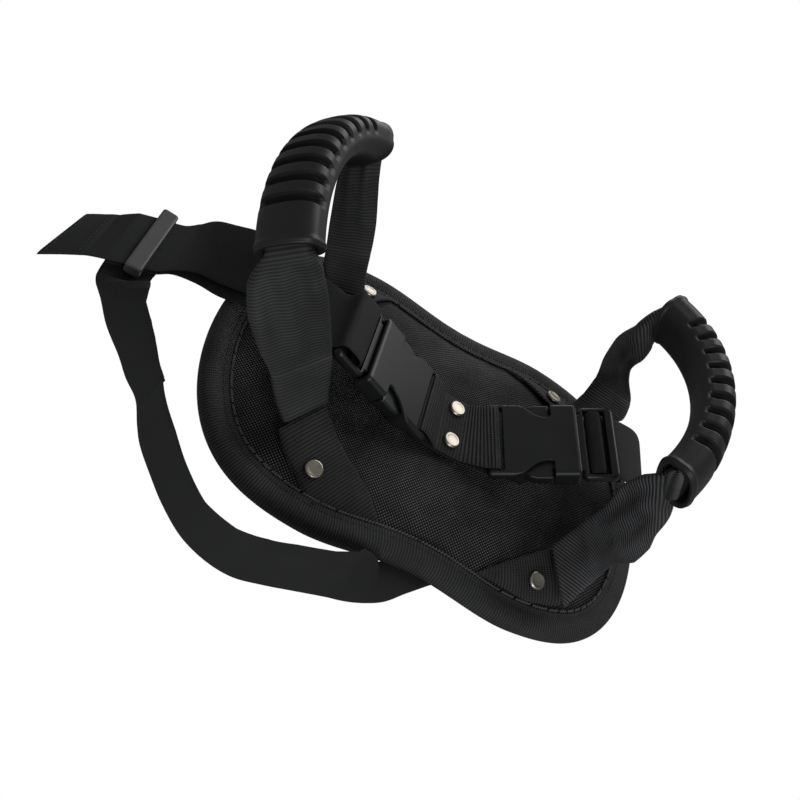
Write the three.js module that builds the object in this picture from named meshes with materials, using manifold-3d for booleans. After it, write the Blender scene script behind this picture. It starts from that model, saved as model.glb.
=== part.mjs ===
// Gait belt: a padded panel with two carrying handles, two side-release buckles
// on a short riveted webbing, and one long waist strap with its keeper.
// Millimetres, +Z up. The panel's length runs along X, and the belt lies on its back
// on a table. The origin is the middle of the belt's footprint, on the table.
import * as THREE from 'three';
import { mergeVertices } from 'three/addons/utils/BufferGeometryUtils.js';
import Module from 'manifold-3d';

const wasm = await Module();
wasm.setup();

// Fits
const clearance = 0.3;
const overrun = 30;

// Panel
const padHalfLength = 168;
const lobeHalfWidth = 113;
const waistDip = 8.5;
const waistReachShare = 0.45;
const endRoundness = 4.8;
const crownHeight = 11;
const crownSharpness = 8;
const foamEdge = 5.5;
const faceThickness = 1.3;
const liningThickness = 1;
const liningLift = 2.1;
const outlineSteps = 56;
const ringShares = [1, 0.97, 0.92, 0.85, 0.74, 0.58, 0.34];

// Edge binding
const bindingWidth = 17;
const bindingWall = 1.8;
const bindingRim = 4.5;

// Tabs that root the handles, and the rivets through them
const tabThickness = 2;
const tabShares = {
  left_near: [[-0.625, -0.664], [-0.62, -0.77], [-0.137, -0.77], [-0.446, -0.495]],
  left_far: [[-0.6, 0.62], [-0.59, 0.77], [-0.17, 0.77], [-0.4, 0.5]],
  right_near: [[0.74, -0.5], [0.7, -0.7], [0.2, -0.785], [0.56, -0.36]],
  right_far: [[0.69, 0.68], [0.66, 0.73], [0.22, 0.785], [0.52, 0.6]],
};
const rivetXShare = 0.482;
const rivetYShare = 0.71;
const rivetCapRadius = 6;
const rivetCapHeight = 2.2;
const capProfileShares = [[0, 0], [1, 0], [1, 0.25], [0.85, 0.6], [0.5, 0.92], [0, 1]];
const rivetShankRadius = 1.7;
const rivetSides = 12;
const rivetBackRadius = 5;
const rivetBackHeight = 0.8;

// Webbing
const webWidth = 50;
const webThickness = 1.6;
const layerGap = 0.6;
const centreRivetYShares = [0.3, -0.26];
const centreRivetXShare = 0.006;

// Side-release buckles
const buckleWidth = 57.2;
const femaleLength = 53;
const femaleThickness = 15;
const femaleBarThickness = 6;
const femaleBar = 6.5;
const femaleWall = 2.4;
const femaleSideWall = 3.4;
const slotWidth = 4.2;
const slotLength = 51.4;
const slotTurnShares = [
  [-0.57, 0.217], [-0.095, 0.1], [0.07, -0.25], [0.07, -0.75], [-0.095, -1.1], [-0.57, -1.217],
];
const windowStartShare = 0.25;
const windowEndShare = 0.66;
const windowDepth = 11.5;
const maleThickness = 7;
const rootBar = 4;
const innerSlot = 4.6;
const middleBar = 5;
const outerSlot = 5;
const outerBar = 6;
const prongThickness = 8.4;
const prongArm = 5;
const prongPad = 7;
const tongueHalfWidth = 8;
const tongueLength = 34;
const tongueThickness = 6;
const prongPivotShare = 0.86;
const prongPivotV = 15;
const prongClear = 2;

// Where each buckle's slot lies over the panel, and how it is turned
const rightSlotShares = [0.182, 0];
const rightSlotHeight = 36.9;
const rightYaw = 10;
const rightTilt = 32.4;
const leftSlotShares = [-0.149, 0];
const leftSlotHeight = 34.5;
const leftYaw = 177;
const leftTilt = 23.1;

// Handles
const gripRadius = 97;
const gripArc = 84;
const gripBroad = 40;
const gripThick = 26;
const gripSides = 14;
const recessCount = 9;
const recessDepth = 3.2;
const recessSpanShare = 0.74;
const recessShares = [[0.2, 0], [0.36, 1], [0.64, 1], [0.8, 0]];
const riserThickness = 3.2;
const riserWaist = 28;
const riserWidth = 47;
const riserRoot = 4;
const rootRoll = 2;
const rootRollLength = 12;
const leftGripReach = 108.3;
const leftGripShift = 30.6;
const rightGripReach = 110;
const rightGripShift = -4;
const handles = {
  left: {
    side: -1, lean: 33.6, reach: leftGripReach, shift: leftGripShift, yaw: 8.4, pitch: -2.1, bulge: 38.8,
  },
  right: {
    side: 1, lean: -8, reach: rightGripReach, shift: rightGripShift, yaw: -3.8, pitch: 3.8, bulge: 34,
  },
};

// Keeper of the strap's free end
const keeperLength = 14;
const keeperWall = 2;
const keeperHeight = 9;
const keeperSide = 1.6;
const keeperSlack = 3.5;
const keeperPlaceShares = [-1.34, 0.043];
const keeperPlan = 86.6;
const keeperLayersShare = 2.44;

// Waist strap stations: the near edge's place as shares of the panel's half length, its
// height in layers of webbing, the plan angle and the bank of the strap's width in degrees,
// and the share of the webbing's width. A station without a height rests on the table.
const tailShares = [
  [-1.643, -0.095, 1.26, 78, 0, 1],
  [-1.56, -0.05, 3.15, 84, 0, 1],
  [-1.48, -0.012, 4.51, 86.6, 0, 1],
  [-1.37, 0.033, 4.78, 86.6, 0, 1],
  [-1.27, 0.07, 4.78, 86.6, 0, 1],
  [-1.21, 0.12, 4.88, 88, 1, 1],
  [-1.149, 0.149, 6.09, 92, 3, 1],
  [-1.03, 0.119, 11.03, 98, 8, 1],
  [-0.915, 0.095, 15.75, 106, 10, 1],
];
const underTailShares = [
  [-0.915, 0.06, 12.39, 103, 9, 1],
  [-1.03, 0.09, 7.14, 98, 8, 1],
  [-1.119, 0.13, 3.15, 94, 2, 1],
  [-1.21, 0.125, 1.74, 88, 0, 1],
  [-1.27, 0.08, 1.73, 86.6, 0, 1],
  [-1.37, 0.043, 1.73, 86.6, 0, 1],
  [-1.44, 0.018, 1.73, 86.6, 0, 1],
];
const loopShares = [
  [-1.443, 0.1, null, 25, 0, 0.7],
  [-1.443, 0.04, null, 8, 0, 0.6],
  [-1.443, -0.018, null, 4, 0, 0.6],
  [-1.44, -0.048, null, -2, 26, 0.66],
  [-1.428, -0.077, null, -12, 46, 0.83],
  [-1.408, -0.104, null, -28, 52, 0.97],
  [-1.385, -0.134, null, -39, 51, 1],
  [-1.323, -0.229, null, -38, 57, 1],
  [-1.235, -0.327, null, -48, 66, 1],
  [-1.181, -0.396, null, -54, 67, 1],
  [-1.12, -0.458, null, -64, 70, 1],
  [-1.077, -0.548, null, 27, 92, 1],
  [-1.042, -0.613, null, 32, 92, 1],
  [-0.97, -0.702, null, 40, 93, 1],
  [-0.893, -0.786, null, 45, 95, 1],
  [-0.798, -0.863, null, 58, 97, 1],
  [-0.696, -0.905, null, 75, 95, 1],
  [-0.601, -0.917, null, 90, 90, 1],
  [-0.5, -0.899, null, 102, 88, 1],
  [-0.381, -0.869, null, 103, 87, 1],
  [-0.286, -0.845, null, 108, 82, 0.96],
  [-0.2, -0.827, null, 108, 58, 0.7],
  [-0.125, -0.8, null, 108, 26, 0.5],
  [-0.06, -0.765, null, 112, 0, 0.5],
  [0.024, -0.69, null, 120, 0, 0.52],
  [0.179, -0.565, null, 125, 0, 0.7],
  [0.458, -0.408, null, 132, 0, 1],
  [0.744, -0.149, null, 126, 0, 1],
  [0.905, -0.012, null, 104, 0, 1],
  [0.985, 0.006, null, 92, 0, 1],
];
const wrapShares = [
  [0.988, 0.006, null, 92, 0, 1],
  [1.02, 0.006, 1.26, 92, 0, 1],
  [1.042, 0.006, 4.72, 91, 0, 1],
  [1.036, 0.006, 8.93, 90, 0, 1],
  [0.994, 0.006, 12.07, 90, 0, 1],
  [0.935, 0.006, 17.32, 92, 0, 1],
  [0.88, 0.006, 25.2, 93, 0, 1],
  [0.825, 0, 33.07, 94, 0, 1],
  [0.755, -0.03, 39.06, 96, 0, 1],
];
const bandSteps = 3;

// The strap's turn over a male buckle's middle bar, as shares of the frame's
// length outside the mouth and of the female body's thickness
const turnShares = [
  [1.06, -0.84], [0.79, -0.84], [0.687, -0.773], [0.646, -0.6], [0.634, -0.4], [0.577, -0.26],
  [0.451, -0.247], [0.325, -0.26], [0.264, -0.4], [0.256, -0.667], [0.28, -0.88], [0.386, -1],
  [0.6, -1], [1.06, -1.01],
];

const belt = new THREE.Group();
const up = new THREE.Vector3(0, 0, 1);

// Materials
function fabric(color) {
  return new THREE.MeshStandardMaterial({ color, roughness: 0.9, metalness: 0 });
}

function plastic(color, roughness) {
  return new THREE.MeshStandardMaterial({ color, roughness, metalness: 0 });
}

function metal(color) {
  return new THREE.MeshStandardMaterial({ color, roughness: 0.35, metalness: 0.9 });
}

function add(name, geometry, material) {
  const mesh = new THREE.Mesh(geometry, material);
  mesh.name = name;
  belt.add(mesh);
  return mesh;
}

// Closed meshes and solids
function geometryOf(points, triangles) {
  const geometry = new THREE.BufferGeometry();
  const flat = points.flatMap((p) => [p.x, p.y, p.z]);
  const volume = triangles.reduce((sum, [a, b, c]) => {
    return sum + points[a].dot(new THREE.Vector3().crossVectors(points[b], points[c]));
  }, 0);
  const outward = volume > 0 ? triangles : triangles.map(([a, b, c]) => [a, c, b]);
  geometry.setAttribute('position', new THREE.Float32BufferAttribute(flat, 3));
  geometry.setIndex(outward.flat());
  return geometry;
}

function solidOf(geometry) {
  const bare = geometry.clone();
  bare.deleteAttribute('normal');
  bare.deleteAttribute('uv');
  const merged = mergeVertices(bare);
  const count = merged.attributes.position.count;
  const triVerts = merged.index ? merged.index.array : [...Array(count).keys()];
  const vertProperties = new Float32Array(merged.attributes.position.array);
  return new wasm.Manifold(new wasm.Mesh({
    numProp: 3,
    vertProperties,
    triVerts: new Uint32Array(triVerts),
  }));
}

function geometryFrom(solid) {
  const mesh = solid.getMesh();
  const geometry = new THREE.BufferGeometry();
  geometry.setAttribute('position', new THREE.BufferAttribute(mesh.vertProperties, 3));
  geometry.setIndex(new THREE.BufferAttribute(mesh.triVerts, 1));
  return geometry;
}

function cut(geometry, tools) {
  return geometryFrom(tools.reduce((solid, tool) => solid.subtract(solidOf(tool)), solidOf(geometry)));
}

function join(geometries) {
  return geometryFrom(geometries.map(solidOf).reduce((whole, solid) => whole.add(solid)));
}

// Rings of equal point counts, lofted into a closed body
function loft(rings, closed) {
  const size = rings[0].length;
  const points = rings.flat();
  const triangles = [];
  const spans = closed ? rings.length : rings.length - 1;
  for (let i = 0; i < spans; i += 1) {
    const a = i * size;
    const b = ((i + 1) % rings.length) * size;
    for (let j = 0; j < size; j += 1) {
      const k = (j + 1) % size;
      triangles.push([a + j, a + k, b + k], [a + j, b + k, b + j]);
    }
  }
  if (!closed) {
    const last = (rings.length - 1) * size;
    for (let j = 1; j < size - 1; j += 1) {
      triangles.push([0, j + 1, j], [last, last + j, last + j + 1]);
    }
  }
  return geometryOf(points, triangles);
}

// A flat band through stations, each with its middle, its width direction and its width
function bandRings(stations, thickness, closed) {
  const count = stations.length;
  return stations.map((station, i) => {
    const before = stations[closed ? (i + count - 1) % count : Math.max(i - 1, 0)];
    const after = stations[closed ? (i + 1) % count : Math.min(i + 1, count - 1)];
    const along = after.middle.clone().sub(before.middle).normalize();
    const across = station.across.clone().normalize();
    const normal = along.cross(across).normalize().multiplyScalar(thickness / 2);
    const half = across.multiplyScalar(station.width / 2);
    const near = station.middle.clone().sub(half);
    const far = station.middle.clone().add(half);
    return [
      near.clone().sub(normal),
      far.clone().sub(normal),
      far.clone().add(normal),
      near.clone().add(normal),
    ];
  });
}

function band(stations, thickness, closed = false) {
  return loft(bandRings(stations, thickness, closed), closed);
}

// Smooth stations between chosen ones: the near edge follows one curve
function smooth(stations, steps) {
  const edge = stations.map(({ middle, across, width }) => {
    return middle.clone().addScaledVector(across.clone().normalize(), -width / 2);
  });
  const curve = new THREE.CatmullRomCurve3(edge, false, 'centripetal');
  const spans = stations.length - 1;
  const result = [];
  for (let i = 0; i <= steps; i += 1) {
    const t = i / steps;
    const at = Math.min(Math.floor(t * spans), spans - 1);
    const part = t * spans - at;
    const across = stations[at].across.clone().normalize();
    across.lerp(stations[at + 1].across.clone().normalize(), part).normalize();
    const width = THREE.MathUtils.lerp(stations[at].width, stations[at + 1].width, part);
    result.push({ middle: curve.getPoint(t).addScaledVector(across, width / 2), across, width });
  }
  return result;
}

// Panel outline, an even closed curve with two lobes and a slight waist
function halfWidthAt(x) {
  const u = Math.min(Math.abs(x) / padHalfLength, 1);
  const lobe = lobeHalfWidth * Math.sqrt(1 - u ** endRoundness);
  const dip = u < waistReachShare ? Math.cos((Math.PI / 2) * (u / waistReachShare)) ** 2 : 0;
  return lobe - waistDip * dip;
}

function panelOutline() {
  const fine = [];
  const count = outlineSteps * 12;
  for (let i = 0; i < count; i += 1) {
    const angle = (2 * Math.PI * i) / count;
    const x = padHalfLength * Math.sign(Math.cos(angle)) * Math.abs(Math.cos(angle)) ** (2 / endRoundness);
    fine.push(new THREE.Vector3(x, Math.sign(Math.sin(angle)) * halfWidthAt(x), 0));
  }
  return new THREE.CatmullRomCurve3(fine, true).getSpacedPoints(outlineSteps).slice(0, outlineSteps);
}

function inset(outline, distance) {
  const count = outline.length;
  return outline.map((point, i) => {
    const along = outline[(i + 1) % count].clone().sub(outline[(i + count - 1) % count]).normalize();
    return new THREE.Vector3(point.x - along.y * distance, point.y + along.x * distance, 0);
  });
}

const outline = panelOutline();
const seam = inset(outline, bindingWidth + clearance);
const foamSeat = liningLift + liningThickness + clearance;
const faceEdgeTop = foamSeat + foamEdge + clearance + faceThickness;

// Share of the way from the panel's middle to its seam, at a place
function seamShare(x, y) {
  const angle = Math.atan2(y, x);
  const reach = Math.hypot(x, y);
  for (let i = 0; i < seam.length; i += 1) {
    const a = seam[i];
    const b = seam[(i + 1) % seam.length];
    const turn = a.x * Math.sin(angle) - a.y * Math.cos(angle);
    const next = b.x * Math.sin(angle) - b.y * Math.cos(angle);
    const ahead = a.x * Math.cos(angle) + a.y * Math.sin(angle) > 0;
    if (ahead && turn >= 0 && next < 0) {
      const edge = a.clone().lerp(b, turn / (turn - next));
      return reach / Math.hypot(edge.x, edge.y);
    }
  }
  return 0;
}

function crownAt(share) {
  return faceEdgeTop + crownHeight * (1 - Math.min(share, 1) ** crownSharpness);
}

function panelHeight(x, y) {
  return crownAt(seamShare(x, y));
}

// A panel layer: top and bottom follow their own height over the same rings
function panelLayer(topOf, bottomOf) {
  const rim = inset(outline, bindingRim + clearance);
  const layers = [rim, ...ringShares.map((share) => seam.map((p) => p.clone().multiplyScalar(share)))];
  const shares = [1, ...ringShares];
  const size = outline.length;
  const points = [];
  const triangles = [];
  for (const heightOf of [topOf, bottomOf]) {
    layers.forEach((ring, r) => {
      ring.forEach((p) => points.push(new THREE.Vector3(p.x, p.y, heightOf(shares[r]))));
    });
    points.push(new THREE.Vector3(0, 0, heightOf(0)));
  }
  const offset = layers.length * size + 1;
  for (const [base, facesUp] of [[0, true], [offset, false]]) {
    const push = (a, b, c) => triangles.push(facesUp ? [a, b, c] : [a, c, b]);
    for (let r = 0; r < layers.length; r += 1) {
      for (let i = 0; i < size; i += 1) {
        const k = (i + 1) % size;
        const a = base + r * size + i;
        const b = base + r * size + k;
        if (r === layers.length - 1) {
          push(a, b, base + layers.length * size);
        } else {
          push(a, b, b + size);
          push(a, b + size, a + size);
        }
      }
    }
  }
  for (let i = 0; i < size; i += 1) {
    const k = (i + 1) % size;
    triangles.push([i, offset + i, offset + k], [i, offset + k, k]);
  }
  return geometryOf(points, triangles);
}

function vertical(x, y, radius, from, to, sides) {
  const post = new THREE.CylinderGeometry(radius, radius, to - from, sides);
  post.rotateX(Math.PI / 2);
  post.translate(x, y, (from + to) / 2);
  return post;
}

// Buckle places
function buckleFrame(shares, height, yaw, tilt) {
  const frame = new THREE.Object3D();
  frame.position.set(shares[0] * padHalfLength, shares[1] * padHalfLength, height);
  frame.rotation.set(0, THREE.MathUtils.degToRad(-tilt), THREE.MathUtils.degToRad(yaw), 'ZYX');
  frame.updateMatrixWorld();
  return frame;
}

const buckles = {
  left: buckleFrame(leftSlotShares, leftSlotHeight, leftYaw, leftTilt),
  right: buckleFrame(rightSlotShares, rightSlotHeight, rightYaw, rightTilt),
};

function inBuckle(side, u, w) {
  return buckles[side].localToWorld(new THREE.Vector3(u, 0, w));
}

function acrossBuckle(side) {
  return new THREE.Vector3(0, 1, 0).applyQuaternion(buckles[side].quaternion);
}

// Centre webbing: one closed loop through both female end bars
const barOuter = -slotWidth / 2 - femaleBar;
const webRise = webThickness / 2 + clearance;

function centreWebbing() {
  const crown = crownAt(0);
  const low = crown + clearance + webThickness / 2;
  const high = low + webThickness + layerGap;
  const flatHalf = rivetCapRadius * 1.5;
  const stations = [];
  const put = (middle, across) => stations.push({ middle, across, width: webWidth });
  const south = new THREE.Vector3(0, 1, 0);
  const rightAcross = acrossBuckle('right');
  const leftAcross = acrossBuckle('left').negate();
  const topW = webRise;
  const underW = -femaleBarThickness - webRise;
  const roundBar = (side, across, order) => {
    const turn = slotTurnShares.map(([u, w]) => [u * slotWidth, w * femaleBarThickness]);
    const places = [[barOuter, topW], ...turn, [barOuter, underW]];
    const list = order > 0 ? places : places.reverse();
    list.forEach(([u, w]) => put(inBuckle(side, u, w), across));
  };
  put(new THREE.Vector3(-flatHalf, 0, high), south);
  put(new THREE.Vector3(flatHalf, 0, high), south);
  roundBar('right', rightAcross, 1);
  put(new THREE.Vector3(flatHalf, 0, low), south);
  put(new THREE.Vector3(-flatHalf, 0, low), south);
  roundBar('left', leftAcross, -1);
  return { geometry: band(stations, webThickness, true), top: high + webThickness / 2 };
}

const centreBand = centreWebbing();

// Rivets: the places that tie panel, tabs and webbing together
const cornerSigns = [
  [-1, -1, 'left_near'], [-1, 1, 'left_far'], [1, -1, 'right_near'], [1, 1, 'right_far'],
];
const rivets = cornerSigns.map(([sx, sy, name]) => {
  const x = sx * rivetXShare * padHalfLength;
  const y = sy * rivetYShare * lobeHalfWidth;
  return { name: `tab_${name}`, x, y, seat: panelHeight(x, y) + clearance + tabThickness };
});
centreRivetYShares.forEach((share, i) => {
  rivets.push({
    name: `centre_${i + 1}`,
    x: centreRivetXShare * padHalfLength,
    y: share * webWidth,
    seat: centreBand.top,
  });
});

const rivetHoles = rivets.map(({ x, y }) => {
  return vertical(x, y, rivetShankRadius + clearance, -overrun, overrun * 2, rivetSides / 2);
});

function slopeAt(x, y) {
  const step = rivetCapRadius;
  const sx = (panelHeight(x + step, y) - panelHeight(x - step, y)) / (2 * step);
  const sy = (panelHeight(x, y + step) - panelHeight(x, y - step)) / (2 * step);
  return new THREE.Vector3(-sx, -sy, 1).normalize();
}

function rivetCap({ x, y, seat, name }) {
  const foot = clearance + (name.startsWith('tab') ? clearance : 0);
  const points = capProfileShares.map(([r, h]) => new THREE.Vector2(r * rivetCapRadius, h * rivetCapHeight));
  const cap = new THREE.LatheGeometry(points, rivetSides);
  cap.rotateX(Math.PI / 2);
  const tilt = name.startsWith('tab') ? slopeAt(x, y) : up;
  cap.applyQuaternion(new THREE.Quaternion().setFromUnitVectors(up, tilt));
  cap.translate(x, y, seat + foot);
  const shank = vertical(x, y, rivetShankRadius, foamSeat, seat + foot + rivetCapHeight / 2, rivetSides / 2);
  return join([cap, shank]);
}

// Each back washer lies on the lining, in a pocket of the foam
function rivetBack({ x, y }) {
  const outer = vertical(x, y, rivetBackRadius, foamSeat, foamSeat + rivetBackHeight, rivetSides);
  return cut(outer, [vertical(x, y, rivetShankRadius + clearance, -overrun, overrun, rivetSides / 2)]);
}

function backPocket({ x, y }) {
  const roof = foamSeat + rivetBackHeight + clearance;
  return vertical(x, y, rivetBackRadius + clearance, -overrun, roof, rivetSides);
}

// Tabs: four-cornered patches of cloth that lie on the panel's crown
function tabCorners(name) {
  return tabShares[name].map(([x, y]) => new THREE.Vector3(x * padHalfLength, y * lobeHalfWidth, 0));
}

function tab(name) {
  const lift = 2 * clearance;
  const sheet = panelLayer((share) => crownAt(share) + lift + tabThickness, (share) => crownAt(share) + lift);
  const patch = new THREE.Shape(tabCorners(name).map((p) => new THREE.Vector2(p.x, p.y)));
  const prism = new THREE.ExtrudeGeometry(patch, { depth: overrun * 2, bevelEnabled: false });
  return geometryFrom(solidOf(sheet).intersect(solidOf(prism)));
}

// Edge binding: a folded tape whose section runs round the outline
function bindingSection() {
  const roof = faceEdgeTop + clearance;
  const floor = liningLift - clearance;
  return [
    [bindingWidth, roof],
    [bindingWidth, roof + bindingWall],
    [bindingRim * 2, roof + bindingWall * 1.4],
    [bindingRim / 3, roof],
    [0, roof / 2],
    [bindingRim / 3, bindingWall / 2],
    [bindingRim * 1.5, 0],
    [bindingWidth, 0],
    [bindingWidth, floor],
    [bindingRim, floor],
    [bindingRim, roof],
  ];
}

function edgeBinding() {
  const section = bindingSection();
  const lines = section.map(([distance]) => inset(outline, distance));
  const rings = outline.map((_, i) => section.map(([, z], j) => lines[j][i].clone().setZ(z)));
  return loft(rings, true);
}

// Strap stations from a table of shares
function stationsOf(table) {
  return table.map(([x, y, z, plan, bank, widthShare]) => {
    const a = THREE.MathUtils.degToRad(plan);
    const b = THREE.MathUtils.degToRad(bank);
    const across = new THREE.Vector3(Math.cos(a) * Math.cos(b), Math.sin(a) * Math.cos(b), Math.sin(b));
    const width = webWidth * widthShare;
    const rest = Math.abs(Math.cos(b)) * (webThickness / 2) + clearance / 6;
    const height = z === null ? rest : z * webThickness;
    const near = new THREE.Vector3(x * padHalfLength, y * padHalfLength, height);
    return { middle: near.addScaledVector(across, width / 2), across, width };
  });
}

function turnStations(side) {
  const across = acrossBuckle(side).multiplyScalar(side === 'left' ? -1 : 1);
  return turnShares.map(([out, w]) => {
    const middle = inBuckle(side, femaleLength + out * maleReach, w * femaleThickness);
    return { middle, across, width: webWidth };
  });
}

const maleReach = rootBar + innerSlot + middleBar + outerSlot + outerBar;
const loopStations = smooth(stationsOf(loopShares), loopShares.length * bandSteps);

function tailStations() {
  const turn = turnStations('left');
  const over = smooth([...stationsOf(tailShares), turn[0]], tailShares.length * bandSteps);
  const lower = [turn[turn.length - 1], ...stationsOf(underTailShares)];
  const under = smooth(lower, underTailShares.length * bandSteps);
  return [...over, ...turn.slice(1, -1), ...under];
}

function wrapStations() {
  const turn = turnStations('right');
  const wrap = smooth([...stationsOf(wrapShares), turn[0]], wrapShares.length * bandSteps);
  return [...wrap, ...turn.slice(1)];
}

// Channel that the strap needs under the panel's edge
function channel(stations) {
  const wide = stations.map((s) => ({
    middle: s.middle.clone().setZ(s.middle.z + clearance / 2),
    across: s.across,
    width: s.width + 4 * clearance,
  }));
  const [first, second] = wide;
  const back = first.middle.clone().sub(second.middle).setLength(8 * clearance);
  wide.unshift({ ...first, middle: first.middle.clone().add(back) });
  return band(wide, webThickness + 4 * clearance);
}

// Panel
const cloth = 0x17181a;
const web = 0x141516;
const shell = 0x2a2b2d;
const rubber = 0x242527;
const nickel = 0xb9b4a6;

function edgeChannels() {
  const low = loopStations.filter((s) => s.middle.z < webThickness * 4 && s.middle.x > -padHalfLength / 3);
  const rising = wrapStations().filter((s) => s.middle.x > padHalfLength * 0.95);
  return [channel(low), channel(rising)];
}

function buildPanel() {
  const faceTop = (share) => crownAt(share);
  const faceUnder = (share) => crownAt(share) - faceThickness;
  const foamTop = (share) => faceUnder(share) - clearance;
  const foamUnder = () => foamSeat;
  add('panel_face', cut(panelLayer(faceTop, faceUnder), rivetHoles), fabric(cloth));
  const pockets = [...rivetHoles, ...rivets.map(backPocket)];
  add('panel_foam', cut(panelLayer(foamTop, foamUnder), pockets), fabric(0x3a3b3d));
  const lining = new THREE.ExtrudeGeometry(
    new THREE.Shape(inset(outline, bindingRim + clearance).map((p) => new THREE.Vector2(p.x, p.y))),
    { depth: liningThickness, bevelEnabled: false },
  );
  lining.translate(0, 0, liningLift);
  add('panel_lining', geometryFrom(solidOf(lining)), fabric(cloth));
  add('edge_binding', cut(edgeBinding(), edgeChannels()), fabric(web));
}

function buildTabs() {
  for (const name of Object.keys(tabShares)) {
    add(`tab_${name}`, cut(tab(name), rivetHoles), fabric(cloth));
  }
}

function buildRivets() {
  for (const rivet of rivets) {
    add(`rivet_${rivet.name}`, rivetCap(rivet), metal(nickel));
    add(`rivet_back_${rivet.name}`, rivetBack(rivet), metal(nickel));
  }
}

// Buckles
function box(from, to) {
  const size = to.map((v, i) => v - from[i]);
  const geometry = new THREE.BoxGeometry(...size);
  return geometry.translate(...to.map((v, i) => (v + from[i]) / 2));
}

function place(mesh, side) {
  mesh.position.copy(buckles[side].position);
  mesh.quaternion.copy(buckles[side].quaternion);
}

const halfBuckle = buckleWidth / 2;
const windowStart = femaleLength * windowStartShare;
const windowEnd = femaleLength * windowEndShare;
const midPlane = -femaleThickness / 2;

function femaleBody() {
  const bevel = femaleBarThickness / 6;
  const profile = new THREE.Shape([
    new THREE.Vector2(barOuter, -bevel),
    new THREE.Vector2(barOuter + bevel, 0),
    new THREE.Vector2(femaleLength, 0),
    new THREE.Vector2(femaleLength, -femaleThickness),
    new THREE.Vector2(windowStart, -femaleThickness),
    new THREE.Vector2(slotWidth, -femaleBarThickness),
    new THREE.Vector2(barOuter + bevel, -femaleBarThickness),
    new THREE.Vector2(barOuter, bevel - femaleBarThickness),
  ]);
  const body = new THREE.ExtrudeGeometry(profile, { depth: buckleWidth, bevelEnabled: false });
  body.rotateX(Math.PI / 2);
  body.translate(0, halfBuckle, 0);
  const inner = halfBuckle - femaleSideWall;
  const cavity = box(
    [windowStart - femaleWall, -inner, femaleWall - femaleThickness],
    [femaleLength + overrun, inner, -femaleWall],
  );
  const slot = box([-slotWidth / 2, -slotLength / 2, -overrun], [slotWidth / 2, slotLength / 2, overrun]);
  const windows = [-1, 1].map((s) => {
    const v = [s * (halfBuckle - windowDepth), s * (halfBuckle + overrun)].sort((a, b) => a - b);
    return box([windowStart, v[0], -overrun], [windowEnd, v[1], overrun]);
  });
  return cut(body, [cavity, slot, ...windows]);
}

function maleFrame() {
  const start = femaleLength + clearance;
  const end = femaleLength + maleReach;
  const low = midPlane - maleThickness / 2;
  const high = midPlane + maleThickness / 2;
  const frame = box([start, -halfBuckle, low], [end, halfBuckle, high]);
  const half = slotLength / 2;
  const innerEdge = femaleLength + rootBar;
  const barStart = innerEdge + innerSlot;
  const barEnd = barStart + middleBar;
  const skim = maleThickness / 7;
  const neckHalf = halfBuckle - femaleWall * 2.8;
  const pivotU = femaleLength * prongPivotShare;
  const neckStart = pivotU + prongArm / 2 + 2 * clearance;
  const neck = box([neckStart, -neckHalf, low], [start + rootBar / 2, neckHalf, high]);
  const tongue = box(
    [femaleLength - tongueLength, -tongueHalfWidth, midPlane - tongueThickness / 2],
    [start + rootBar / 2, tongueHalfWidth, midPlane + tongueThickness / 2],
  );
  const slots = [
    box([innerEdge, -half, -overrun], [barStart, half, overrun]),
    box([barEnd, -half, -overrun], [barEnd + outerSlot, half, overrun]),
    box([innerEdge, -half, high - skim], [barEnd + outerSlot / 2, half, overrun]),
    box([innerEdge, -half, -overrun], [barEnd + outerSlot / 2, half, low + skim]),
  ];
  return cut(join([frame, neck, tongue]), slots);
}

function prong(s) {
  const pivotU = femaleLength * prongPivotShare;
  const root = pivotU + prongArm / 2;
  const inner = prongPivotV - prongArm / 2;
  const padStart = windowStart + prongClear;
  const padEnd = windowEnd - 2 * clearance;
  const points = [
    [root, inner],
    [padStart + prongArm, inner + 1.5 * clearance],
    [padStart, inner + prongArm],
    [padStart, halfBuckle - clearance],
    [padEnd, halfBuckle - clearance],
    [padEnd, halfBuckle - prongPad + clearance],
    [root, prongPivotV + prongArm / 2],
  ];
  const shape = new THREE.Shape(points.map(([u, v]) => new THREE.Vector2(u, s * v)));
  const geometry = new THREE.ExtrudeGeometry(shape, { depth: prongThickness, bevelEnabled: false });
  return geometry.translate(0, 0, midPlane - prongThickness / 2);
}

function buildBuckles() {
  add('centre_webbing', cut(centreBand.geometry, rivetHoles), fabric(web));
  for (const side of ['left', 'right']) {
    place(add(`buckle_${side}_female`, femaleBody(), plastic(shell, 0.45)), side);
    place(add(`buckle_${side}_male`, maleFrame(), plastic(shell, 0.45)), side);
    place(add(`buckle_${side}_prong_near`, prong(side === 'left' ? 1 : -1), plastic(shell, 0.45)), side);
    place(add(`buckle_${side}_prong_far`, prong(side === 'left' ? -1 : 1), plastic(shell, 0.45)), side);
  }
}

// Handles
function rootOf(name) {
  const corners = tabCorners(name);
  const edge = corners[3].clone().sub(corners[0]).normalize();
  const point = corners[0].clone().lerp(corners[3], 0.5);
  point.z = panelHeight(point.x, point.y) + tabThickness + 2 * clearance + rootRoll + 2 * clearance;
  return { point, edge };
}

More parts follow.
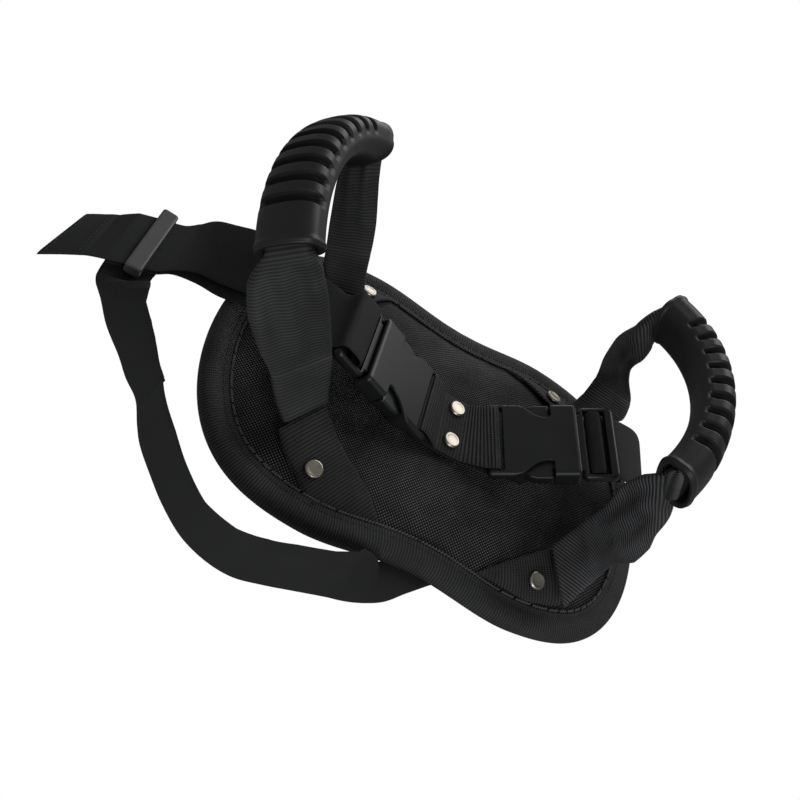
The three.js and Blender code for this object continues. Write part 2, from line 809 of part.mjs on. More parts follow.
function handleFrame(side) {
  const set = handles[side];
  const near = rootOf(`${side}_near`);
  const far = rootOf(`${side}_far`);
  const yaw = THREE.MathUtils.degToRad(set.yaw);
  const pitch = THREE.MathUtils.degToRad(set.pitch);
  const lean = THREE.MathUtils.degToRad(set.lean);
  const rise = THREE.MathUtils.degToRad(set.bulge);
  const chord = new THREE.Vector3(Math.sin(yaw), Math.cos(yaw), Math.sin(pitch)).normalize();
  const bulge = new THREE.Vector3(set.side * Math.cos(rise), 0, Math.sin(rise));
  bulge.addScaledVector(chord, -bulge.dot(chord)).normalize();
  const normal = new THREE.Vector3().crossVectors(chord, bulge);
  const middle = near.point.clone().lerp(far.point, 0.5);
  const outward = new THREE.Vector3(set.side * Math.sin(lean), 0, Math.cos(lean));
  middle.addScaledVector(outward, set.reach);
  middle.y += set.shift;
  return { near, far, chord, bulge, normal, middle };
}

const halfArc = THREE.MathUtils.degToRad(gripArc / 2);
const arcSteps = 7;

function arcPoint(frame, angle, outwardBy) {
  const reach = gripRadius + outwardBy;
  const point = frame.middle.clone();
  point.addScaledVector(frame.chord, reach * Math.sin(angle));
  return point.addScaledVector(frame.bulge, reach * Math.cos(angle) - gripRadius * Math.cos(halfArc));
}

function gripRing(frame, angle, depth) {
  const ring = [];
  for (let i = 0; i < gripSides; i += 1) {
    const turn = (2 * Math.PI * i) / gripSides;
    const c = Math.cos(turn);
    const s = Math.sin(turn);
    const outer = Math.max(c, 0) ** 0.5;
    const radial = Math.sign(c) * Math.abs(c) ** 0.75 * (gripThick / 2) - depth * outer;
    const point = arcPoint(frame, angle, radial);
    ring.push(point.addScaledVector(frame.normal, Math.sign(s) * Math.abs(s) ** 0.8 * (gripBroad / 2)));
  }
  return ring;
}

function gripAngles() {
  const list = [[-1, 0], [-0.97, 0], [-0.85, 0]];
  const pitch = (2 * recessSpanShare) / recessCount;
  for (let i = 0; i < recessCount; i += 1) {
    const from = -recessSpanShare + i * pitch;
    list.push(...recessShares.map(([share, depth]) => [from + share * pitch, depth]));
  }
  list.push([0.85, 0], [0.97, 0], [1, 0]);
  return list;
}

function grip(frame) {
  const rings = gripAngles().map(([share, depth]) => gripRing(frame, share * halfArc, depth * recessDepth));
  const bore = [];
  for (let i = -arcSteps - 1; i <= arcSteps + 1; i += 1) {
    const angle = (i / arcSteps) * halfArc;
    bore.push({ middle: arcPoint(frame, angle, 0), across: frame.normal, width: riserWaist + 4 * clearance });
  }
  return cut(loft(rings, false), [band(bore, riserThickness + 2 * clearance)]);
}

function handleStrap(frame) {
  const stations = [];
  const rise = (root, mouthAngle) => {
    const edge = root.edge.clone().multiplyScalar(Math.sign(root.edge.dot(frame.normal)));
    const mouth = arcPoint(frame, mouthAngle, 0);
    const beyond = arcPoint(frame, mouthAngle * 1.1, 0);
    const at = (share) => root.point.clone().lerp(beyond, share);
    return [
      { middle: root.point.clone(), across: edge, width: riserRoot },
      { middle: at(0.3), across: edge, width: riserWidth },
      { middle: at(0.62), across: edge.clone().lerp(frame.normal, 0.4), width: riserWidth },
      { middle: at(0.9), across: edge.clone().lerp(frame.normal, 0.75), width: riserWidth * 0.9 },
      { middle: beyond, across: edge.clone().lerp(frame.normal, 0.9), width: riserWaist * 1.1 },
      { middle: mouth, across: frame.normal, width: riserWaist },
    ];
  };
  stations.push(...rise(frame.near, -halfArc));
  for (let i = 1 - arcSteps; i < arcSteps; i += 1) {
    const angle = (i / arcSteps) * halfArc;
    stations.push({ middle: arcPoint(frame, angle, 0), across: frame.normal, width: riserWaist });
  }
  stations.push(...rise(frame.far, halfArc).reverse());
  const axis = frame.far.point.clone().sub(frame.near.point).normalize();
  const turn = new THREE.Quaternion().setFromUnitVectors(new THREE.Vector3(0, 1, 0), axis);
  const rolls = [frame.near, frame.far].map(({ point }) => {
    const roll = new THREE.CylinderGeometry(rootRoll, rootRoll, rootRollLength, rivetSides);
    return roll.applyQuaternion(turn).translate(point.x, point.y, point.z);
  });
  return join([band(stations, riserThickness), ...rolls]);
}

function buildHandles() {
  for (const side of ['left', 'right']) {
    const frame = handleFrame(side);
    add(`handle_${side}_webbing`, handleStrap(frame), fabric(web));
    add(`handle_${side}_grip`, grip(frame), plastic(rubber, 0.7));
  }
}

// Waist strap and keeper
function keeper() {
  const [x, y] = keeperPlaceShares;
  const turn = THREE.MathUtils.degToRad(keeperPlan) - Math.PI / 2;
  const half = webWidth / 2 + keeperSlack;
  const reach = half + keeperSide;
  const outer = box([-keeperLength / 2, -reach, 0], [keeperLength / 2, reach, keeperHeight]);
  const hole = box([-overrun, -half, keeperWall], [overrun, half, keeperHeight - keeperWall]);
  const ring = cut(outer, [hole]);
  ring.translate(0, webWidth / 2, 0);
  ring.rotateZ(turn);
  return ring.translate(x * padHalfLength, y * padHalfLength, keeperLayersShare * webThickness);
}

function buildWaistStrap() {
  add('waist_strap_tail', band(tailStations(), webThickness), fabric(web));
  add('waist_strap_loop', band(loopStations, webThickness), fabric(web));
  add('waist_strap_wrap', band(wrapStations(), webThickness), fabric(web));
  add('strap_keeper', keeper(), plastic(shell, 0.5));
}

buildPanel();
buildTabs();
buildRivets();
buildBuckles();
buildHandles();
buildWaistStrap();

const extent = new THREE.Box3().setFromObject(belt, true);
belt.position.copy(extent.getCenter(new THREE.Vector3())).negate().setZ(-extent.min.z);

export default belt;
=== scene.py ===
import math

import bmesh
import bpy
import numpy as np
from mathutils import Matrix, Vector, noise


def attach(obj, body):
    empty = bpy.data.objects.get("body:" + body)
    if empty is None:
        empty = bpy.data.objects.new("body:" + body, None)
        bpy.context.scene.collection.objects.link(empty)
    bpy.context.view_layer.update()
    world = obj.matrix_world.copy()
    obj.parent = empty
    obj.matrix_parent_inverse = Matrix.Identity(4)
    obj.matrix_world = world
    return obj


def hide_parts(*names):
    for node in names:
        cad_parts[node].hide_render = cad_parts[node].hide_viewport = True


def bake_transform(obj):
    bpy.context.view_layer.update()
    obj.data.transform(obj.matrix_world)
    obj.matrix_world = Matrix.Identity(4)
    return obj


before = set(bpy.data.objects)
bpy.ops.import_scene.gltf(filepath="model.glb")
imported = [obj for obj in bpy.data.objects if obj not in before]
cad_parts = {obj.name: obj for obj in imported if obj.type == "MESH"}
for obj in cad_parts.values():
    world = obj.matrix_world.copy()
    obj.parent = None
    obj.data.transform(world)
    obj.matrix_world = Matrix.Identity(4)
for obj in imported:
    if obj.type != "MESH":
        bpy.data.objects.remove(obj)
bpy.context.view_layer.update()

MM = 0.001
PANEL_AT = Vector((50.107, 22.482, 0))   # the panel's middle, from the middle of the belt's footprint
LIFT = 2.1          # the lining's flat face stands this far above the table
CLEAR = 0.3

# Camera
AZIMUTH, ELEVATION, ROLL = -22.29, 44.09, 44.33      # fitted to the buckles, the rivets and the pad's edge
DISTANCE = 625.1
TARGET = (-30.53, 22.13, 0)
FOCAL = 40.707
SENSOR = 36


def place_camera():
    turn = Matrix.Rotation(math.radians(AZIMUTH), 4, "Z")
    turn = turn @ Matrix.Rotation(math.radians(90 - ELEVATION), 4, "X")
    turn = turn @ Matrix.Rotation(math.radians(ROLL), 4, "Z")
    data = bpy.data.cameras.new("camera")
    data.lens = FOCAL
    data.sensor_width = SENSOR
    data.clip_start = 10 * MM
    camera = bpy.data.objects.new("camera", data)
    bpy.context.scene.collection.objects.link(camera)
    target = (Vector(TARGET) + PANEL_AT) * MM
    eye = target + turn.to_3x3() @ Vector((0, 0, DISTANCE * MM))
    camera.matrix_world = Matrix.Translation(eye) @ turn
    bpy.context.scene.camera = camera


place_camera()


# Materials
def linear(code):
    """An sRGB hex colour as linear red, green, blue and alpha."""
    parts = [int(code[i:i + 2], 16) / 255 for i in (1, 3, 5)]
    return [p / 12.92 if p <= 0.04045 else ((p + 0.055) / 1.055) ** 2.4 for p in parts] + [1]


def node(tree, kind, settings=None, inputs=None):
    """Adds a node with its settings, and sets its inputs or links them to a socket or a node."""
    made = tree.nodes.new(kind)
    for key, value in (settings or {}).items():
        setattr(made, key, value)
    for key, value in (inputs or {}).items():
        if isinstance(value, bpy.types.Node):
            value = value.outputs[0]
        if isinstance(value, bpy.types.NodeSocket):
            tree.links.new(value, made.inputs[key])
        else:
            made.inputs[key].default_value = value
    return made


def surface(name, roughness, ior=None):
    """A new material, its nodes and its shader. A metal is given no IOR and keeps the usual one."""
    material = bpy.data.materials.new(name)
    material.use_nodes = True
    tree = material.node_tree
    shader = tree.nodes["Principled BSDF"]
    shader.inputs["Roughness"].default_value = roughness
    if ior is None:
        shader.inputs["Metallic"].default_value = 1.0
    else:
        shader.inputs["IOR"].default_value = ior
    return material, tree, shader


def tint(tree, shader, factor, dark, light, height, depth):
    """Colour from dark to light by factor, and a bump of that depth in mm."""
    ramp = node(tree, "ShaderNodeValToRGB", inputs={0: factor})
    ramp.color_ramp.elements[0].color = linear(dark)
    ramp.color_ramp.elements[1].color = linear(light)
    tree.links.new(ramp.outputs["Color"], shader.inputs["Base Color"])
    bump = node(tree, "ShaderNodeBump", inputs={"Height": height, "Distance": depth * MM, "Strength": 1.0})
    tree.links.new(bump.outputs[0], shader.inputs["Normal"])


def patches(tree, size, detail):
    """A cloudy pattern, with clouds of that size in mm."""
    spot = node(tree, "ShaderNodeTexCoord").outputs["Object"]
    inputs = {"Vector": spot, "Scale": 1 / (size * MM), "Detail": detail}
    return node(tree, "ShaderNodeTexNoise", inputs=inputs)


def sheen_patches(tree, raised, size, detail, least, most):
    """The raised yarns, lighter and darker by patches, as a painted sheen that varies over the cloth."""
    painted_sheen = node(tree, "ShaderNodeMapRange", inputs={
        "Value": patches(tree, size, detail),
        "From Min": 0.35, "From Max": 0.65, "To Min": least, "To Max": most})
    return node(tree, "ShaderNodeMath", {"operation": "MULTIPLY"}, {0: raised, 1: painted_sheen})


def yarn_wave(tree, axis, length):
    """A sine along one axis that swings once in each length, like yarns that lie side by side."""
    turn = node(tree, "ShaderNodeMath", {"operation": "MULTIPLY"}, {0: axis, 1: 2 * math.pi / length})
    return node(tree, "ShaderNodeMath", {"operation": "SINE"}, {0: turn})


def ballistic_nylon(name, cell, dark, light, gloss):
    """Basket weave: each crossing of the yarns, cell mm from the next, stands up as a small dot, coloured
    light grey as a painted highlight. Nylon's
    IOR is 1.53, but its yarns shade each other, and 1.28 gives the cloth's dull black."""
    material, tree, shader = surface(name, gloss, ior=1.28)
    axes = node(tree, "ShaderNodeSeparateXYZ", inputs={0: node(tree, "ShaderNodeTexCoord").outputs["Object"]})
    warp, weft = [yarn_wave(tree, axes.outputs[k], 2 * cell * MM) for k in (0, 1)]
    crossing = node(tree, "ShaderNodeMath", {"operation": "MULTIPLY"}, {0: warp, 1: weft})
    raised = node(tree, "ShaderNodeMath", {"operation": "MAXIMUM"}, {0: crossing, 1: 0.0})
    dots = node(tree, "ShaderNodeMath", {"operation": "POWER"}, {0: raised, 1: 1.3})
    tint(tree, shader, sheen_patches(tree, dots, 100 / 3, 3.0, 0.3, 1.15), dark, light, crossing, 0.3)
    return material


def ribbed_webbing(name, pitch, dark, light, gloss, depth):
    """Cross ribs, pitch mm from one to the next, each a row of small yarn beads. The tops are coloured
    lighter and the dips between them darker: painted highlight and painted shade.
    """
    material, tree, shader = surface(name, gloss, ior=1.45)
    axes = node(tree, "ShaderNodeSeparateXYZ", inputs={0: node(tree, "ShaderNodeUVMap", {"uv_map": "lay"})})
    rib = yarn_wave(tree, axes.outputs[1], pitch)
    bead = yarn_wave(tree, axes.outputs[0], 0.6 * pitch)
    weave = node(tree, "ShaderNodeMath", {"operation": "MULTIPLY_ADD"}, {0: bead, 1: 0.35, 2: rib})
    shade = node(tree, "ShaderNodeMath", {"operation": "MULTIPLY_ADD"}, {0: weave, 1: 0.4, 2: 0.45})
    tint(tree, shader, sheen_patches(tree, shade, 25, 4.0, 0.55, 1.1), dark, light, weave, depth)
    return material


def uneven_shine(tree, shader, pattern, low, high):
    rough = node(tree, "ShaderNodeMapRange", inputs={"Value": pattern, "To Min": low, "To Max": high})
    tree.links.new(rough.outputs[0], shader.inputs["Roughness"])


def moulded(name, grain, dark, light, roughness, ior, depth):
    """A moulding from a spark-eroded tool, whose even fine grain softens each highlight."""
    material, tree, shader = surface(name, roughness, ior=ior)
    broad = patches(tree, 25, 4.0)
    tint(tree, shader, broad, dark, light, patches(tree, grain, 2.0), depth)
    uneven_shine(tree, shader, broad, roughness - 0.06, roughness + 0.08)
    return material


def nickel_plate(name, rub_mark, dark, light, depth):
    """Nickel plate on a drawn brass cap, barrel-polished, with faint rub marks."""
    material, tree, shader = surface(name, 0.27)
    marks = patches(tree, rub_mark, 5.0)
    tint(tree, shader, marks, dark, light, marks, depth)
    uneven_shine(tree, shader, marks, 0.24, 0.4)
    return material


# The pad's cover: black, with rows of small grey dots where thick filament yarns cross and catch the light.
# Such cloth has them under 1 mm apart, and they are drawn a little coarser so that they show.
pad_cloth = ballistic_nylon("ballistic_nylon_basket_woven", 1.15, "#040405", "#7c7d7e", 0.6)
# The back's plain-woven nylon: a flat, even black with hardly a dot in it.
lining_cloth = ballistic_nylon("nylon_lining_plain_woven", 0.9, "#0c0c0e", "#2c2d30", 0.75)
# The waist strap: fine-woven polyester, matt and nearly even, with ribs that are barely seen.
strap_web = ribbed_webbing("polyester_webbing_fine_woven", 1.3, "#161718", "#262728", 0.8, 0.04)
# Between the buckles: bold cross ribs, dark lines between grey ones. They are drawn a little coarse so that
# they show.
centre_web = ribbed_webbing("polyester_webbing_cross_ribbed", 2.3, "#070708", "#333437", 0.65, 0.3)
# The right handle: woven nylon, its ribs coloured light grey where they bend as a painted sheen, drawn a
# little coarse like the next two.
handle_web = ribbed_webbing("nylon_webbing_handle_woven", 2.05, "#0d0d0e", "#66676a", 0.65, 0.26)
# The left handle: the same webbing, rubbed smooth and grey in use.
worn_web = ribbed_webbing("nylon_webbing_handle_worn_smooth", 2.05, "#1c1d1d", "#454646", 0.7, 0.1)
# The tabs: the same webbing, held flat and coloured darker, a painted shade for the little light it catches.
tab_web = ribbed_webbing("nylon_webbing_tab_woven", 2.05, "#08080a", "#3e3f40", 0.7, 0.22)
# The edge tape: woven nylon folded over the edge, ribs across it, their tops coloured grey as a painted
# highlight.
tape_web = ribbed_webbing("nylon_binding_tape_woven", 1.9, "#0c0c0d", "#424343", 0.65, 0.2)
# Twisted polyester sewing thread: a broken line, a shade lighter than the tape.
thread = ribbed_webbing("polyester_thread_twisted", 0.8, "#1a1a1b", "#4c4d4e", 0.6, 0.05)
# The cord woven into the tape's inner edge: slanted beads that catch the light.
edge_thread = ribbed_webbing("nylon_selvedge_cord_twisted", 0.9, "#262626", "#6c6c6c", 0.6, 0.05)
# The buckles, injection-moulded acetal: satin black, with soft light lines on the rounded edges.
acetal = moulded("acetal_injection_moulded_satin", 0.35, "#131415", "#1a1b1c", 0.38, 1.5, 0.012)
# The keeper, injection-moulded nylon: greyer than the buckles and as satin.
keeper_nylon = moulded("nylon_injection_moulded_keeper", 0.4, "#4b4d4c", "#5e605e", 0.36, 1.53, 0.012)
# The grips, moulded thermoplastic rubber: matt, with a wide dull highlight on each rib.
rubber = moulded("thermoplastic_rubber_moulded_matt", 0.5, "#171817", "#212221", 0.46, 1.5, 0.03)
# The floors between the ribs, where the tool was left rough: coloured much darker than the ribs, as painted
# shade for the shadow in the recesses.
recess_painted_shade_rubber = moulded(
    "thermoplastic_rubber_moulded_recess_rough_painted_shade", 0.5, "#060706", "#0d0e0d", 0.75, 1.45, 0.03)
# The rivets: warm silver, bright on the rim and cloudy on the cap.
nickel = nickel_plate("nickel_plated_brass_drawn", 2.38, "#9c978a", "#bfbaad", 0.03)


# Meshes
def closed_mesh(name, points, faces, lay=None):
    """An object with its faces turned outward. lay is each corner's place on the cloth, in mm."""
    mesh = bpy.data.meshes.new(name)
    mesh.from_pydata(points, [], faces)
    if lay is not None:
        layer = mesh.uv_layers.new(name="lay")
        layer.data.foreach_set("uv", np.asarray(lay, np.float32).ravel())
    body = bmesh.new()
    body.from_mesh(mesh)
    bmesh.ops.recalc_face_normals(body, faces=body.faces)
    body.to_mesh(mesh)
    body.free()
    return shown(name, mesh)


def shown(name, mesh):
    made = bpy.data.objects.new(name, mesh)
    bpy.context.scene.collection.objects.link(made)
    return made


def finish(mesh, material):
    """One smooth skin of one material."""
    mesh.polygons.foreach_set("use_smooth", [True] * len(mesh.polygons))
    mesh.materials.clear()
    mesh.materials.append(material)


def piece(name, points, faces, material, lay=None):
    """A piece from points in mm, measured from the table under the panel's middle."""
    made = closed_mesh(name, [(Vector(p) + PANEL_AT) * MM for p in points], faces, lay)
    finish(made.data, material)
    return made


def seat(made, body, slot, *nodes):
    if nodes:
        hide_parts(*nodes)
    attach(made, body)


def ring_loft(rings, closed, lay_along, lay_across):
    """Points, faces and corner places for a loft of equal rings."""
    size = len(rings[0])
    points = [p for ring in rings for p in ring]
    faces, lay = [], []
    spans = len(rings) if closed else len(rings) - 1
    for i in range(spans):
        n = (i + 1) % len(rings)
        for j in range(size):
            k = (j + 1) % size
            faces.append((i * size + j, i * size + k, n * size + k, n * size + j))
            a, b = lay_across[j], lay_across[j + 1]
            lay += [(a, lay_along[i]), (b, lay_along[i]), (b, lay_along[i + 1]), (a, lay_along[i + 1])]
    if not closed:
        for base, order in ((0, 1), ((len(rings) - 1) * size, -1)):
            faces.append(tuple(base + j for j in range(size))[::order])
            lay += [(lay_across[j], 0) for j in range(size)]
    return points, faces, lay


# Stations
class Station:
    """One cut across a strap: its middle, its width direction and its width, in mm."""

    def __init__(self, middle, across, width):
        self.middle = Vector(middle)
        self.across = Vector(across).normalized()
        self.width = width


def step_up(low, high, value):
    t = max(0.0, min((value - low) / (high - low), 1.0))
    return t * t * (3 - 2 * t)


def catmull_rom(points, t):
    spans = len(points) - 1
    at = min(int(t * spans), spans - 1)
    part = t * spans - at
    p1, p2 = points[at], points[at + 1]
    p0 = points[at - 1] if at > 0 else p1 * 2 - p2
    p3 = points[at + 2] if at + 2 <= spans else p2 * 2 - p1
    d0, d1, d2 = [max((b - a).length, 1e-8) ** 0.5 for a, b in ((p0, p1), (p1, p2), (p2, p3))]
    t1 = ((p1 - p0) / d0 - (p2 - p0) / (d0 + d1) + (p2 - p1) / d1) * d1
    t2 = ((p2 - p1) / d1 - (p3 - p1) / (d1 + d2) + (p3 - p2) / d2) * d1
    c2 = p2 * 3 - p1 * 3 - t1 * 2 - t2
    c3 = p1 * 2 - p2 * 2 + t1 + t2
    return p1 + t1 * part + c2 * part ** 2 + c3 * part ** 3


def eased(stations, steps):
    """The near edge follows one smooth curve, as in the solids."""
    edge = [s.middle - s.across * (s.width / 2) for s in stations]
    spans = len(stations) - 1
    result = []
    for i in range(steps + 1):
        t = i / steps
        at = min(int(t * spans), spans - 1)
        part = t * spans - at
        a, b = stations[at], stations[at + 1]
        across = a.across.lerp(b.across, part).normalized()
        width = a.width + (b.width - a.width) * part
        result.append(Station(catmull_rom(edge, t) + across * (width / 2), across, width))
    return result


def resampled(stations, spacing, closed=False, passes=2):
    """Even stations along the same line, with its corners eased."""
    line = stations + [stations[0]] if closed else stations
    result = []
    for a, b in zip(line, line[1:]):
        count = max(1, round((b.middle - a.middle).length / spacing))
        for i in range(count):
            part = i / count
            result.append(Station(
                a.middle.lerp(b.middle, part), a.across.lerp(b.across, part),
                a.width + (b.width - a.width) * part))
    if not closed:
        result.append(stations[-1])
    for _ in range(passes):
        middles = [s.middle.copy() for s in result]
        count = len(result)
        for i, s in enumerate(result):
            if closed or 0 < i < count - 1:
                s.middle = (middles[i - 1] + middles[i] * 2 + middles[(i + 1) % count]) / 4
    return result


WEB_WIDTH = 50
WEB_THICK = 1.6
PLY_GAP = 0.6         # between two layers of webbing that lie on each other
EDGE_COLUMNS = 20


def strap_rings(stations, thickness, closed, fold, swell):
    """Rounded cuts across a strap. fold(along, total, side) bends it out of its plane, swell thickens it."""
    count = len(stations)
    along_mm, total = [0.0], 0.0
    for i in range(count if closed else count - 1):
        total += (stations[(i + 1) % count].middle - stations[i].middle).length
        along_mm.append(total)
    sides = [-math.cos(math.pi * j / EDGE_COLUMNS) for j in range(EDGE_COLUMNS + 1)]
    rings = []
    for i, s in enumerate(stations):
        before = stations[(i - 1) % count if closed else max(i - 1, 0)]
        after = stations[(i + 1) % count if closed else min(i + 1, count - 1)]
        tangent = (after.middle - before.middle).normalized()
        normal = tangent.cross(s.across).normalized()
        top, low = [], []
        for side in sides:
            thick = thickness / 2 * swell(along_mm[i], total, side)
            round_off = (1 - abs(side) ** 10) ** 0.5 if abs(side) < 1 else 0.0
            bend = fold(along_mm[i], total, side)
            spot = s.middle + s.across * (side * s.width / 2)
            top.append(spot + normal * (bend + thick * round_off))
            low.append(spot + normal * (bend - thick * round_off))
        rings.append(top + low[-2:0:-1])
    spans = [s * WEB_WIDTH / 2 for s in sides]
    across = spans + spans[-2:0:-1] + [spans[0]]
    return rings, along_mm, across


def flat(_along, _total, _side):
    return 0.0


def even(_along, _total, _side):
    return 1.0


def strap(name, stations, thickness, material, closed=False, fold=flat, swell=even, skew=flat):
    """skew(along, total, side) slides the weave along the strap."""
    rings, along_mm, across = strap_rings(stations, thickness, closed, fold, swell)
    points, faces, lay = ring_loft(rings, closed, along_mm + [along_mm[-1]], across)
    lay = [(a, b + skew(b, along_mm[-1], a * 2 / WEB_WIDTH)) for a, b in lay]
    return piece(name, points, faces, material, lay)


BEAD = ((0, 0.35), (0.2, 0.9), (0.5, 1.0), (0.8, 0.9), (1, 0.35))     # thickness along a stitch
BEAD_SIDES = 6


def bead_rings(start, step, up, length, radius):
    """One stitch, pulled into the cloth at its ends."""
    side = up.cross(step).normalized()
    turns = [2 * math.pi * k / BEAD_SIDES for k in range(BEAD_SIDES)]
    rings = []
    for part, fat in BEAD:
        middle = start + step * (part * length) - up * (0.25 * radius * (1 - fat))
        rings.append([middle + (side * math.cos(t) + up * math.sin(t)) * (radius * fat) for t in turns])
    return rings


def stitches(name, rows, material, length=2.6, gap=1.1, radius=0.32, slant=0.0):
    """Rows of thread along lines of (place, upward normal)."""
    points, faces, lay = [], [], []
    around = [k % BEAD_SIDES for k in range(BEAD_SIDES + 1)]
    for row in rows:
        walked, wanted = 0.0, gap
        for (a, up), (b, _) in zip(row, row[1:]):
            span = (b - a).length
            while walked + span > wanted + length and span > 0:
                start = a.lerp(b, max(0.0, (wanted - walked) / span))
                step = (b - a).normalized()
                step = (step + up.cross(step) * slant).normalized()
                rings = bead_rings(start, step, up, length, radius)
                spots, sides, places = ring_loft(rings, False, range(len(BEAD)), around)
                faces += [tuple(len(points) + k for k in face) for face in sides]
                points += spots
                lay += places
                wanted += length + gap
            walked += span
    return piece(name, points, faces, material, lay)


# Panel
PAD_HALF = 168
LOBE_HALF = 113
WAIST_DIP = 8.5
WAIST_REACH = 0.45
END_ROUND = 4.8
CROWN = 11
CROWN_SHARP = 8
LINING_THICK = 1
FOAM_EDGE, FACE_THICK = 5.5, 1.3
PAD_UNDER = LIFT + LINING_THICK + CLEAR
FACE_EDGE_TOP = PAD_UNDER + FOAM_EDGE + CLEAR + FACE_THICK
BIND_WIDTH = 17
BIND_WALL = 1.8
BIND_RIM = 4.5
OUTLINE_STEPS = 448
FINE_STEPS = 6 * OUTLINE_STEPS


def half_width(x):
    u = min(abs(x) / PAD_HALF, 1)
    dip = math.cos(math.pi / 2 * u / WAIST_REACH) ** 2 if u < WAIST_REACH else 0
    return LOBE_HALF * math.sqrt(1 - u ** END_ROUND) - WAIST_DIP * dip


def panel_outline():
    """The outline in even steps from its right end, and its length."""
    fine = []
    for i in range(FINE_STEPS):
        a = 2 * math.pi * i / FINE_STEPS
        x = PAD_HALF * math.copysign(abs(math.cos(a)) ** (2 / END_ROUND), math.cos(a))
        fine.append((x, math.copysign(half_width(x), math.sin(a)) if math.sin(a) else 0.0))
    fine = np.array(fine + [fine[0]])
    walked = np.concatenate([[0], np.cumsum(np.linalg.norm(np.diff(fine, axis=0), axis=1))])
    wanted = np.linspace(0, walked[-1], OUTLINE_STEPS, endpoint=False)
    return np.stack([np.interp(wanted, walked, fine[:, k]) for k in (0, 1)], axis=1), walked[-1]


OUTLINE, PERIMETER = panel_outline()
ALONG = np.roll(OUTLINE, -3, axis=0) - np.roll(OUTLINE, 3, axis=0)
ALONG /= np.linalg.norm(ALONG, axis=1)[:, None]


def inset(distance):
    return OUTLINE + np.stack([-ALONG[:, 1], ALONG[:, 0]], axis=1) * distance


SEAM = inset(BIND_WIDTH + CLEAR)
BY_TURN = SEAM[np.argsort(np.arctan2(SEAM[:, 1], SEAM[:, 0]))]
SEAM_TURN = np.arctan2(BY_TURN[:, 1], BY_TURN[:, 0])
SEAM_REACH = np.hypot(BY_TURN[:, 0], BY_TURN[:, 1])


def seam_share(x, y):
    """How far out a place on the panel lies: 0 in its middle, 1 on the binding's seam."""
    return math.hypot(x, y) / np.interp(math.atan2(y, x), SEAM_TURN, SEAM_REACH, period=2 * math.pi)


def crown_at(share):
    return FACE_EDGE_TOP + CROWN * (1 - min(share, 1) ** CROWN_SHARP)


def panel_height(x, y):
    return crown_at(seam_share(x, y))


TAB_THICK = 2
# The corners of the solids' tabs, as shares of half the panel. They say where the pad is held down and over
# which roots the grips stand. TAB_LOOKS has the places that the photo gives the tabs themselves.
TAB_SHARES = {
    "left_near": ((-0.625, -0.664), (-0.62, -0.77), (-0.137, -0.77), (-0.446, -0.495)),
    "left_far": ((-0.6, 0.62), (-0.59, 0.77), (-0.17, 0.77), (-0.4, 0.5)),
    "right_near": ((0.74, -0.5), (0.7, -0.7), (0.2, -0.785), (0.56, -0.36)),
    "right_far": ((0.69, 0.68), (0.66, 0.73), (0.22, 0.785), (0.52, 0.6)),
}


def tab_corners(name):
    return [Vector((x * PAD_HALF, y * LOBE_HALF, 0)) for x, y in TAB_SHARES[name]]


RIVET_X, RIVET_Y = 0.482 * PAD_HALF, 0.71 * LOBE_HALF
RIVETS = {
    "tab_left_near": (-RIVET_X, -RIVET_Y), "tab_left_far": (-RIVET_X, RIVET_Y),
    "tab_right_near": (RIVET_X, -RIVET_Y), "tab_right_far": (RIVET_X, RIVET_Y),
    "centre_1": (0.006 * PAD_HALF, 15), "centre_2": (0.006 * PAD_HALF, -13),
}


HOLD_FADE = 14                           # how far the pad is still held down beside a tab
CENTRE_HELD = (60, WEB_WIDTH / 2 + 4)    # half the length and width that the centre webbing holds down


def near_tab(x, y):
    """1 under a tab, a rivet or the centre webbing, falling to 0 beside it."""
    held = 0.0
    for name in TAB_SHARES:
        corners = tab_corners(name)
        middle = sum(corners, Vector()) / 4
        reach = max((c - middle).length for c in corners)
        held = max(held, 1 - max(0.0, (math.hypot(x - middle.x, y - middle.y) - reach) / HOLD_FADE))
    if abs(x) < CENTRE_HELD[0] and abs(y) < CENTRE_HELD[1]:
        held = 1.0
    return max(0.0, min(held, 1.0))


def sandwich_faces(rings):
    """Faces for an upper and a lower stack of rings, each closed by a middle point, joined at the rim."""
    size, half = OUTLINE_STEPS, rings * OUTLINE_STEPS + 1
    ahead = [(i + 1) % size for i in range(size)]
    faces = []
    for base in (0, half):
        for r in range(rings - 1):
            a, b = base + r * size, base + (r + 1) * size
            faces += [(a + i, a + k, b + k, b + i) for i, k in enumerate(ahead)]
        last = base + (rings - 1) * size
        faces += [(last + i, last + k, base + half - 1) for i, k in enumerate(ahead)]
    return faces + [(i, half + i, half + k, k) for i, k in enumerate(ahead)]


PAD_SHARES = (1, 0.985, 0.96, 0.92, 0.85, 0.74, 0.58, 0.4, 0.2)
PAD_SHRINK = 1.5      # the shell starts this much flatter than the solid
PAD_VOXEL = 5
SEAM_HELD = 0.985     # the share of the way to the seam from which the cover is sewn down
RIVET_HELD = 8
SIM_FRAMES = 20
SIM_CAP = 5
PRESSURE = 4


def pad_shell():
    rings = [(inset(BIND_RIM + 2 * CLEAR), 1)] + [(SEAM * share, share) for share in PAD_SHARES]
    points = []
    for top in (True, False):
        for ring, share in rings:
            sunk = 0 if share == 1 else PAD_SHRINK
            z = crown_at(share) - sunk if top else PAD_UNDER
            points += [(x, y, z) for x, y in ring]
        points.append((0, 0, crown_at(0) - PAD_SHRINK if top else PAD_UNDER))
    return piece("pad_shell", points, sandwich_faces(len(rings)), pad_cloth)


def evaluated(obj):
    depsgraph = bpy.context.evaluated_depsgraph_get()
    return bpy.data.meshes.new_from_object(obj.evaluated_get(depsgraph))


